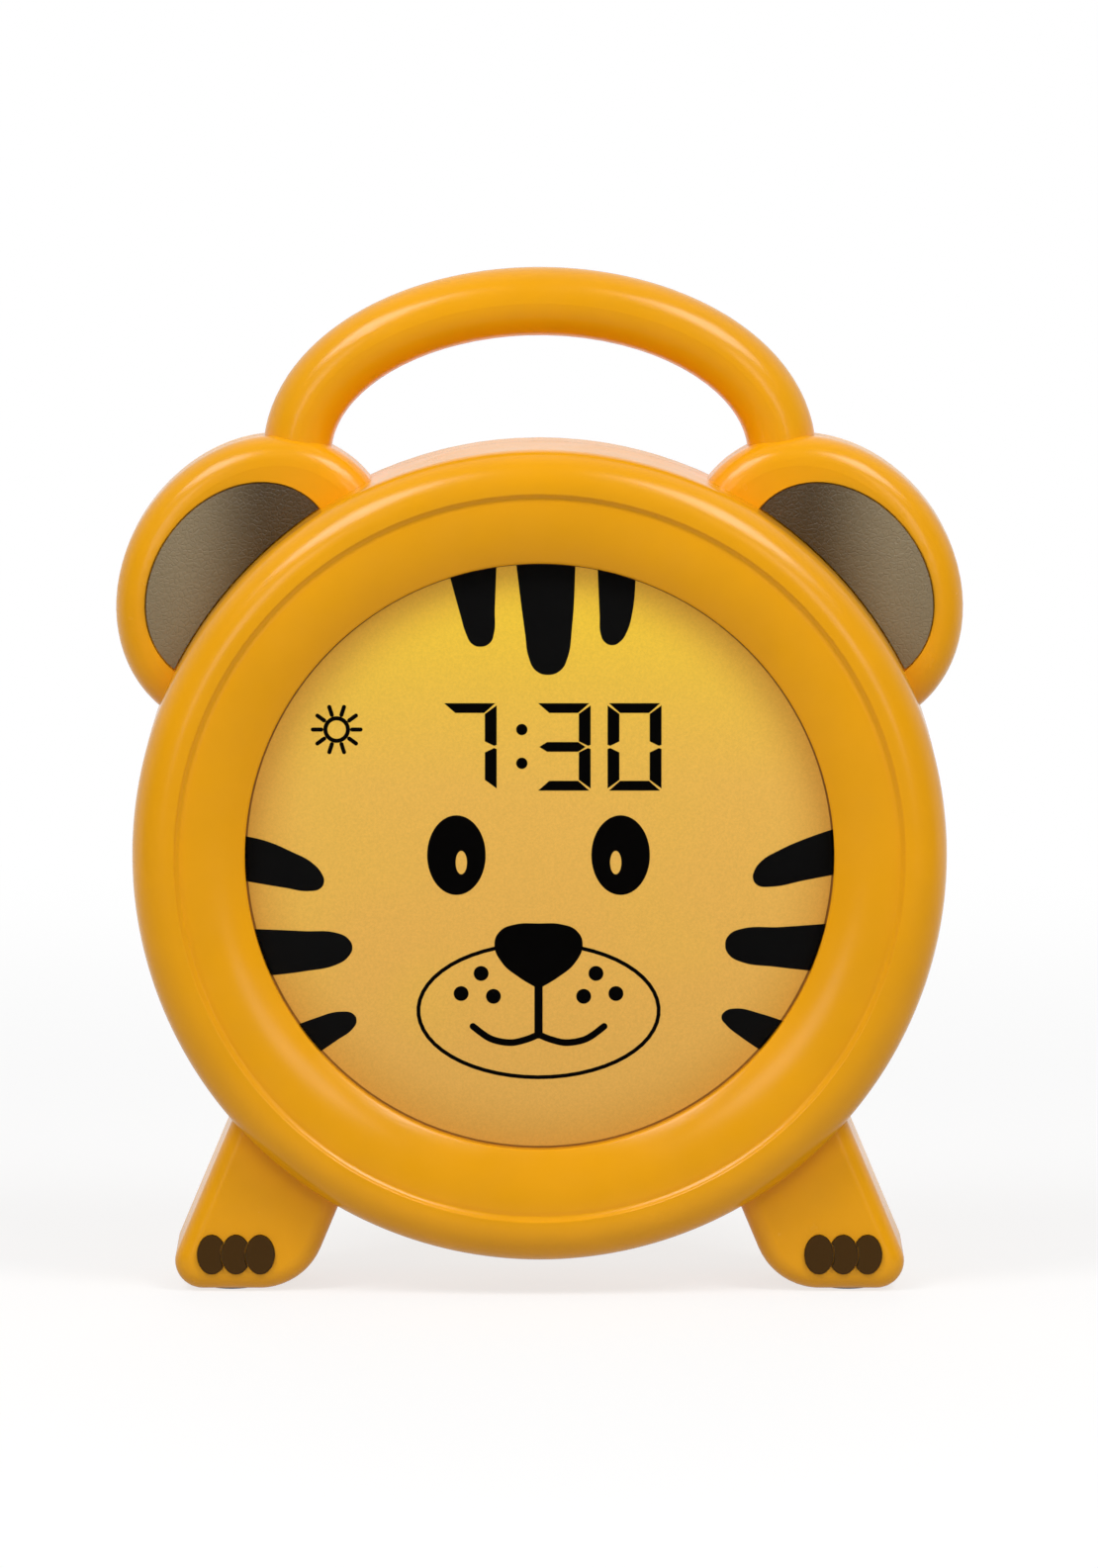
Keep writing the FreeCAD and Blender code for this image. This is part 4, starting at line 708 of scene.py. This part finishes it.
def draw_time(ink):
    for name, left in DIGIT_LEFTS.items():
        curve = flat_curve(name)
        shapes = digit_outlines(left)
        for part in DIGIT_PARTS[name]:
            polygon(curve, shapes[part])
        ink_piece("digit_" + name, curve, ink)
    curve = flat_curve("colon")
    for height in COLON_HEIGHTS:
        ellipse(curve, COLON_OUT, height, COLON_RADIUS, COLON_RADIUS)
    ink_piece("colon", curve, ink)


def draw_sun(ink):
    curve = flat_curve("sun")
    half = SUN_STROKE / 2
    for reach in (SUN_RING + half, SUN_RING - half):
        ellipse(curve, SUN_OUT, SUN_UP, reach, reach)
    ink_piece("sun_ring", curve, ink)
    curve = flat_curve("rays")
    middle = Vector((SUN_OUT, SUN_UP))
    for ray in range(SUN_RAYS):
        turn = math.tau * ray / SUN_RAYS
        along = Vector((math.cos(turn), math.sin(turn)))
        start = middle + along * (SUN_RING + SUN_STROKE)
        band(curve, [start, middle + along * SUN_REACH], SUN_STROKE)
    ink_piece("sun_rays", curve, ink)


def draw_face(ink):
    for name, side in (("left", -1), ("right", 1)):
        middle = FACE_MIDDLE + EYE_OUT * side
        curve = flat_curve("eye")
        ellipse(curve, middle, EYE_UP, EYE_WIDE, EYE_TALL)
        ellipse(curve, middle - GLINT_IN * side, EYE_UP + GLINT_DOWN, GLINT_WIDE, GLINT_TALL)
        ink_piece("eye_" + name, curve, ink)
        curve = flat_curve("dots")
        for out, up in DOTS:
            ellipse(curve, FACE_MIDDLE + out * side, up, DOT_RADIUS, DOT_RADIUS)
        ink_piece("whisker_dots_" + name, curve, ink)
    curve = flat_curve("nose")
    right_half = NOSE[1:]
    left_half = [(-out, up) for out, up in reversed(right_half)]
    outline = [(FACE_MIDDLE + out, up) for out, up in [NOSE[0]] + right_half + left_half]
    tip = len(right_half)
    smooth_spline(curve, outline, (tip, tip + 1))
    ink_piece("nose", curve, ink, NOSE_LIFT)


def draw_mouth(ink):
    curve = flat_curve("stem")
    band(curve, [(FACE_MIDDLE, NOSE[-1][1] + STEM_WIDE), (FACE_MIDDLE, MOUTH[0][1])], STEM_WIDE)
    ink_piece("nose_stem", curve, ink, STEM_LIFT)
    for name, side in (("left", -1), ("right", 1)):
        curve = flat_curve("mouth")
        band(curve, [(FACE_MIDDLE + out * side, up) for out, up in MOUTH], MOUTH_STROKE)
        ink_piece("mouth_" + name, curve, ink)
    curve = flat_curve("muzzle")
    band(curve, muzzle_line(), MUZZLE_STROKE, 1)
    ink_piece("muzzle", curve, ink)


def muzzle_line():
    """The oval round the mouth, open at its top where the nose covers it."""
    first = 90 - MUZZLE_GAP
    sweep = MUZZLE_GAP * 2 - 360
    line = []
    for step in range(MUZZLE_STEPS + 1):
        turn = math.radians(first + sweep * step / MUZZLE_STEPS)
        out = FACE_MIDDLE + MUZZLE_WIDE * math.cos(turn)
        up = MUZZLE_UP + MUZZLE_TALL * math.sin(turn)
        line.append((out, up))
    return line


# Signs on the buttons

def raised_sign(button, curve, material):
    """Puts a drawing on the crown of a button, so that it reads from behind."""
    low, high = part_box(button)
    mesh = solid_of(button + "_sign", curve, SIGN_THICK)
    upright = Matrix.Rotation(math.pi, 4, "Z") @ Matrix.Rotation(math.pi / 2, 4, "X")
    back = high[1] + (SIGN_LIFT - SIGN_THICK / 2) * MM
    mesh.transform(Matrix.Translation(((low[0] + high[0]) / 2, back, (low[2] + high[2]) / 2)) @ upright)
    keep(button + "_sign", mesh, material, button)


def triangle_sign(up):
    curve = flat_curve("triangle")
    foot = -SIGN_REACH * TRIANGLE_FOOT * up
    polygon(curve, [(-SIGN_REACH, foot), (SIGN_REACH, foot), (0, SIGN_REACH * up)])
    return curve


def bell_sign():
    curve = flat_curve("bell")
    smooth_spline(curve, BELL, BELL_CORNERS)
    ellipse(curve, 0, BELL[BELL_CORNERS[0]][1] - CLAPPER_DROP, CLAPPER, CLAPPER)
    return curve


def dial_sign():
    curve = flat_curve("dial")
    half = SIGN_STROKE / 2
    for reach in (SIGN_REACH, SIGN_REACH - SIGN_STROKE):
        ellipse(curve, 0, 0, reach, reach)
    tall = SIGN_REACH - SIGN_STROKE * 2
    polygon(curve, [(-half, -half), (tall, -half), (tall, half), (half, half), (half, tall), (-half, tall)])
    return curve


def lamp_sign():
    curve = flat_curve("lamp")
    ellipse(curve, 0, 0, SIGN_REACH * LAMP_SIZE, SIGN_REACH * LAMP_SIZE)
    for ray in range(SIGN_RAYS):
        turn = math.tau * ray / SIGN_RAYS
        along = Vector((math.cos(turn), math.sin(turn)))
        band(curve, [along * SIGN_REACH * RAY_START, along * SIGN_REACH], SIGN_STROKE * RAY_STROKE)
    return curve


def moon_sign():
    """A crescent: most of a circle, closed by a flatter arc between its two tips."""
    outer = arc((0, 0), SIGN_REACH, MOON_OPEN, 360 - MOON_OPEN, SIGN_STEPS)
    tip = Vector(outer[0])
    middle = Vector((SIGN_REACH * MOON_ASIDE, 0))
    reach = (tip - middle).length
    turn = math.degrees(math.atan2(tip.y, tip.x - middle.x))
    inner = arc(middle, reach, 360 - turn, turn, SIGN_STEPS)
    curve = flat_curve("moon")
    polygon(curve, outer + inner[1:-1])
    return curve


def make_signs(material):
    signs = {
        "up_button": triangle_sign(1),
        "down_button": triangle_sign(-1),
        "alarm_button": bell_sign(),
        "clock_button": dial_sign(),
        "light_button": lamp_sign(),
        "snooze_button": moon_sign(),
    }
    for button, curve in signs.items():
        raised_sign(button, curve, material)


# The face ring, the window and the painted shadow line round it, in millimetres

RING_LOW, RING_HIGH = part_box("face_ring")
RING_RADIUS = (RING_HIGH[0] - RING_LOW[0]) / 2 / MM
RING_FRONT = RING_LOW[1] / MM
RING_BACK = RING_HIGH[1] / MM
ROLL = 7.2
CREST = 1.2
GROOVE = 0.9
GROOVE_DEEP = 1.0
STEP_WIDE = 0.65
BEVEL_DROP = 0.9
BEVEL_CURVE = 22.0
RIM_LIP = 0.7
LIP_ROUND = 0.4
ARC_STEPS = 24
LIP_STEPS = 5
RING_TURNS = 240

# Keeps the foot of the rim's lip apart from the curved face
NEAR = 0.02

# Directions on a profile in degrees, for arc
LIP_START = 215
TO_FRONT = 270
OUTWARDS = 360

WINDOW_EDGE = 0.35
WINDOW_LIFT = 0.10
WINDOW_TURNS = 144

# A profile that ends on the axis keeps this far from it
PINHOLE = 0.0001

# Width of the painted shadow line, and how far it runs on under the ring
LINE_WIDTH = 0.4
LINE_HIDDEN = 2.0


def revolved(name, profile, material, smooth=False, steps=WINDOW_TURNS):
    """Turns a profile of (radius, y), in metres, round the drum axis."""
    corners = []
    faces = []
    count = len(profile)
    for step in range(steps):
        turn = math.tau * step / steps
        for radius, y in profile:
            corners.append((radius * math.cos(turn), y, AXIS + radius * math.sin(turn)))
    for step in range(steps):
        here = step * count
        there = (step + 1) % steps * count
        for place in range(count - 1):
            faces.append((here + place, there + place, there + place + 1, here + place + 1))
    mesh = bpy.data.meshes.new(name)
    mesh.from_pydata(corners, [], faces)
    mesh.validate()
    for face in mesh.polygons:
        face.use_smooth = smooth
    return keep(name, mesh, material, CASE)


def arc(middle, radius, first, last, steps):
    """Points on an arc between two angles in degrees; 0 looks outwards, 90 to the back."""
    points = []
    for step in range(steps + 1):
        turn = math.radians(first + (last - first) * step / steps)
        points.append((middle[0] + radius * math.cos(turn), middle[1] + radius * math.sin(turn)))
    return points


def bulge(start, end, radius, steps):
    """Points on the arc of that radius from start to end, swelling to the front."""
    start = Vector(start)
    end = Vector(end)
    half = (end - start) / 2
    reach = math.sqrt(radius * radius - half.length_squared)
    inward = Vector((-half.y, half.x)).normalized()
    middle = start + half + inward * reach
    first = math.degrees(math.atan2(start.y - middle.y, start.x - middle.x))
    last = math.degrees(math.atan2(end.y - middle.y, end.x - middle.x))
    return arc(middle, radius, first, last, steps)


def make_ring(material):
    """The face ring with the edges of its fine groove rounded as moulded plastic is."""
    front = RING_FRONT
    inner = SCREEN_RADIUS / MM
    roll_middle = RING_RADIUS - ROLL
    crest_inner = roll_middle - CREST
    bevel_outer = crest_inner - GROOVE
    floor = front + GROOVE_DEEP
    bevel_top = front + BEVEL_DROP
    window = LENS_FRONT / MM
    face = bulge((inner, window - RIM_LIP), (bevel_outer - LIP_ROUND, bevel_top), BEVEL_CURVE, ARC_STEPS)
    profile = [(inner, RING_BACK), (inner, window - RIM_LIP + NEAR)] + face
    profile += [(bevel_outer, floor), (crest_inner - STEP_WIDE, floor)]
    profile += arc((crest_inner + LIP_ROUND, front + LIP_ROUND), LIP_ROUND, LIP_START, TO_FRONT, LIP_STEPS)
    profile += arc((roll_middle, front + ROLL), ROLL, TO_FRONT, OUTWARDS, ARC_STEPS)
    profile += [(RING_RADIUS, RING_BACK), (inner, RING_BACK)]
    in_metres = [(radius * MM, y * MM) for radius, y in profile]
    ring = revolved("rolled_ring", in_metres, material, True, RING_TURNS)
    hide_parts("face_ring")


def make_window(material):
    """The clear window with its slightly rounded front edge."""
    edge = WINDOW_EDGE * MM
    back = FILM_FRONT - WINDOW_LIFT * MM
    profile = [
        (PINHOLE * MM, LENS_FRONT),
        (LENS_RADIUS - edge, LENS_FRONT),
        (LENS_RADIUS, LENS_FRONT + edge),
        (LENS_RADIUS, back),
        (PINHOLE * MM, back),
    ]
    window = revolved("front_window", profile, material)
    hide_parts("screen_lens")


def make_painted_shadow_line(material):
    """The dark line along the edge of the face ring: painted shadow, laid on the film where the ring's lip
    shades it.
    """
    front = FILM_FRONT - (INK + INK_LIFT) * MM
    back = FILM_FRONT - INK_LIFT * MM
    inner = SCREEN_RADIUS - LINE_WIDTH * MM
    outer = SCREEN_RADIUS + LINE_HIDDEN * MM
    profile = [(inner, front), (outer, front), (outer, back), (inner, back), (inner, front)]
    revolved("painted_shadow_line", profile, material)


# Camera, light and surroundings

VIEW_DOWN = 6.0
VIEW_FAR = 3.0
VIEW_ASIDE = 1.84 * MM
VIEW_UP = 98.1 * MM
VIEW_END = 30
SENSOR = 36

# The photograph's height in pixels, and what one of them covers
PHOTO_TALL = 1585
PIXEL = 0.194 * MM


def make_camera():
    data = bpy.data.cameras.new("camera")
    data.sensor_fit = "VERTICAL"
    data.sensor_height = SENSOR
    data.lens = SENSOR * VIEW_FAR / (PHOTO_TALL * PIXEL)
    data.clip_end = VIEW_END
    camera = bpy.data.objects.new("camera", data)
    bpy.context.scene.collection.objects.link(camera)
    tilt = math.radians(VIEW_DOWN)
    target = Vector((VIEW_ASIDE, 0, VIEW_UP))
    camera.location = target + Vector((0, -math.cos(tilt), math.sin(tilt))) * VIEW_FAR
    camera.rotation_euler = (math.pi / 2 - tilt, 0, 0)
    bpy.context.scene.camera = camera


# Each lamp: its place and size in metres, and its power
SOFTBOX = ((0.68, -0.80, 1.20), (0.6, 0.6), 8.4)
SIDE_BOX = ((0.95, -2.10, 0.62), (0.45, 0.8), 3.0)
BACK_FILL = ((0, 2.0, 0.9), (1.2, 0.8), 10.0)
LAMP_AIM = Vector((0, 0, 0.11))


def make_lamp(name, place, size, power, mirrored=True):
    data = bpy.data.lights.new(name, "AREA")
    data.shape = "RECTANGLE"
    data.size = size[0]
    data.size_y = size[1]
    data.energy = power
    lamp = bpy.data.objects.new(name, data)
    bpy.context.scene.collection.objects.link(lamp)
    lamp.location = place
    aim = LAMP_AIM - Vector(place)
    lamp.rotation_euler = aim.to_track_quat("-Z", "Y").to_euler()
    lamp.visible_glossy = mirrored


def make_lamps():
    """Two lamps on each side in front, and one behind that no surface mirrors."""
    for name, side in (("left", -1), ("right", 1)):
        for kind, lamp in (("softbox_", SOFTBOX), ("side_box_", SIDE_BOX)):
            (out, depth, height), size, power = lamp
            make_lamp(kind + name, (out * side, depth, height), size, power)
    make_lamp("back_fill", *BACK_FILL, mirrored=False)


AMBIENT = 0.30
STUDIO_FRONT = 0.05
STUDIO_BLEND = 0.5


def add_look(tree, path):
    """1 for a ray that looks: from the camera, or by way of gloss or glass."""
    seen = combined(tree, "MAXIMUM", (path, "Is Camera Ray"), (path, "Is Glossy Ray"))
    return combined(tree, "MAXIMUM", (seen, "Value"), (path, "Is Transmission Ray"))


def studio_white(tree, output, reach, path):
    """White to the camera; in reflections white behind the object and dim in front."""
    axes = node(tree, "SeparateXYZ")
    join(tree, place_of(tree), output, axes, "Vector")
    behind = map_range(tree, axes, "Y", -reach, reach, STUDIO_FRONT, 1, smooth=True)
    return combined(tree, "MAXIMUM", (behind, "Result"), (path, "Is Camera Ray"))


def make_world():
    """A studio that is white to look at and softer as light."""
    world = bpy.data.worlds.new("studio")
    bpy.context.scene.world = world
    world.use_nodes = True
    tree = world.node_tree
    tree.nodes.clear()
    path = node(tree, "LightPath")
    soft = node(tree, "Background", color=WHITE, strength=AMBIENT)
    white = node(tree, "Background", color=WHITE)
    join(tree, studio_white(tree, "Generated", STUDIO_BLEND, path), "Value", white, "Strength")
    both = node(tree, "MixShader")
    join(tree, add_look(tree, path), "Value", both, 0)
    join(tree, soft, "Background", both, 1)
    join(tree, white, "Background", both, 2)
    end = node(tree, "OutputWorld")
    join(tree, both, "Shader", end, "Surface")


FLOOR_SIZE = 12.0
FLOOR_PAINT = 0.30
FLOOR_GLOW = 0.72
FLOOR_BOUNCE = 0.25
FLOOR_NEAR = 0.28
FLOOR_FAR = 0.75
FLOOR_BLEND = 0.3


def table_near(tree, path):
    """The table close to the feet: paint that takes their shadow, and a soft glow."""
    paint = node(tree, "BsdfDiffuse", color=shade(WHITE, FLOOR_PAINT))
    glow = node(tree, "Emission", color=WHITE)
    lit = map_range(tree, path, "Is Camera Ray", 0, 1, FLOOR_BOUNCE, FLOOR_GLOW)
    join(tree, lit, "Result", glow, "Strength")
    near = node(tree, "AddShader")
    join(tree, paint, "BSDF", near, 0)
    join(tree, glow, "Emission", near, 1)
    return near


def white_share(tree, path):
    """How far the table is plain white: all of it in reflections, and far off in sight."""
    reach = node(tree, "VectorMath", operation="LENGTH")
    join(tree, place_of(tree), "Object", reach, 0)
    away = map_range(tree, reach, "Value", FLOOR_NEAR, FLOOR_FAR, smooth=True)
    far = combined(tree, "MULTIPLY", (away, "Result"), (add_look(tree, path), "Value"))
    return combined(tree, "MAXIMUM", (far, "Value"), (path, "Is Glossy Ray"))


def table_material():
    """A white table top that keeps the soft shadow of the feet and ends in white."""
    material, tree = new_tree("table_white")
    path = node(tree, "LightPath")
    white = node(tree, "Emission", color=WHITE)
    join(tree, studio_white(tree, "Object", FLOOR_BLEND, path), "Value", white, "Strength")
    both = node(tree, "MixShader")
    join(tree, white_share(tree, path), "Value", both, 0)
    join(tree, table_near(tree, path), "Shader", both, 1)
    join(tree, white, "Emission", both, 2)
    end = node(tree, "OutputMaterial")
    join(tree, both, "Shader", end, "Surface")
    return material


def make_floor():
    half = FLOOR_SIZE / 2
    corners = [(-half, -half, 0), (half, -half, 0), (half, half, 0), (-half, half, 0)]
    mesh = bpy.data.meshes.new("table_top")
    mesh.from_pydata(corners, [], [(0, 1, 2, 3)])
    mesh.materials.append(table_material())
    floor = bpy.data.objects.new("table_top", mesh)
    bpy.context.scene.collection.objects.link(floor)


# Everything together

def dress_case():
    dress(["front_shell", "rear_shell"], moulded("case_plastic", ORANGE, 0.23, depth=0.0008, seam=True))
    ring_plastic = moulded("ring_plastic", ORANGE, 0.22)
    dress(["battery_door"], ring_plastic)
    make_ring(ring_plastic)
    # The ear inlays carry painted shade and a painted highlight
    dress(["ear_inlay_left", "ear_inlay_right"], leather_like("ear_skin", EAR_BROWN, EAR_HIGHLIGHT))
    dress(["toe_pads_left", "toe_pads_right"], moulded("toe_brown", TOE_BROWN, 0.42, 0.5, 0.012, level=0.15))
    dress(["rubber_feet"], moulded("dark_rubber", linear(40, 38, 36), 0.75, 0.3, 0.02))
    controls = ["light_button", "alarm_button", "clock_button", "snooze_button", "up_button", "down_button"]
    dress(controls + ["alarm_switch"], moulded("button_brown", BUTTON_BROWN, 0.4, 0.35, 0.01))
    dress(["face_film"], lit_film("lit_film"))


def dress_inside():
    steel = metal("screw_steel", linear(158, 158, 164), 0.4)
    dress(["case_screws", "frame_screws", "board_screws", "speaker_screws"], steel)
    dress(["button_board_screws", "door_screw"], steel)
    dress(["speaker_basket", "slide_case", "socket_nut"], metal("plated_steel", linear(196, 196, 200), 0.3))
    dress(["battery_plates", "battery_springs"], metal("contact_nickel", linear(205, 200, 188), 0.28))
    dress(["speaker_magnet"], metal("ferrite", linear(70, 70, 74), 0.5))
    dress(["speaker_cone"], moulded("cone_paper", linear(48, 46, 44), 0.85, 0.4, 0.03))
    dress(["display_frame"], moulded("white_plastic", linear(232, 231, 224), 0.4))
    dress(["main_board", "button_board"], moulded("board_green", linear(28, 96, 52), 0.35, 2.5, 0.01, 0.12))
    dress(["board_parts", "tact_switches"], moulded("chip_black", linear(34, 34, 36), 0.5, 0.3, 0.008))
    dress(["backlight_lamps"], moulded("lamp_resin", linear(245, 242, 214), 0.2))
    dress(["power_socket"], moulded("socket_black", linear(26, 26, 28), 0.25))
    dress(["zebra_strip"], moulded("grey_rubber", linear(120, 120, 126), 0.7))
    dress(["lcd_panel"], moulded("display_glass", linear(214, 184, 110), 0.12))
    dress(["light_guide"], moulded("clear_guide", linear(236, 238, 232), 0.1))
    dress(["aa_cells"], moulded("cell_wrap", linear(60, 104, 150), 0.25, 5, 0.004))


def main():
    make_camera()
    make_world()
    make_lamps()
    make_floor()
    bpy.context.scene.view_settings.view_transform = "Standard"
    dress_case()
    dress_inside()
    ink = printed("display_ink", INK_BLACK)
    draw_stripes(printed("stripe_ink", STRIPE_BLACK))
    draw_time(ink)
    draw_sun(ink)
    draw_face(ink)
    draw_mouth(ink)
    # A brown ring of painted shadow along the edge of the face ring
    make_painted_shadow_line(moulded("shadow_line_brown", linear(150, 102, 30), 0.5))
    make_window(clear_window("clear_acrylic"))
    make_signs(moulded("sign_cream", SIGN_CREAM, 0.45, 0.35, 0.01))


main()
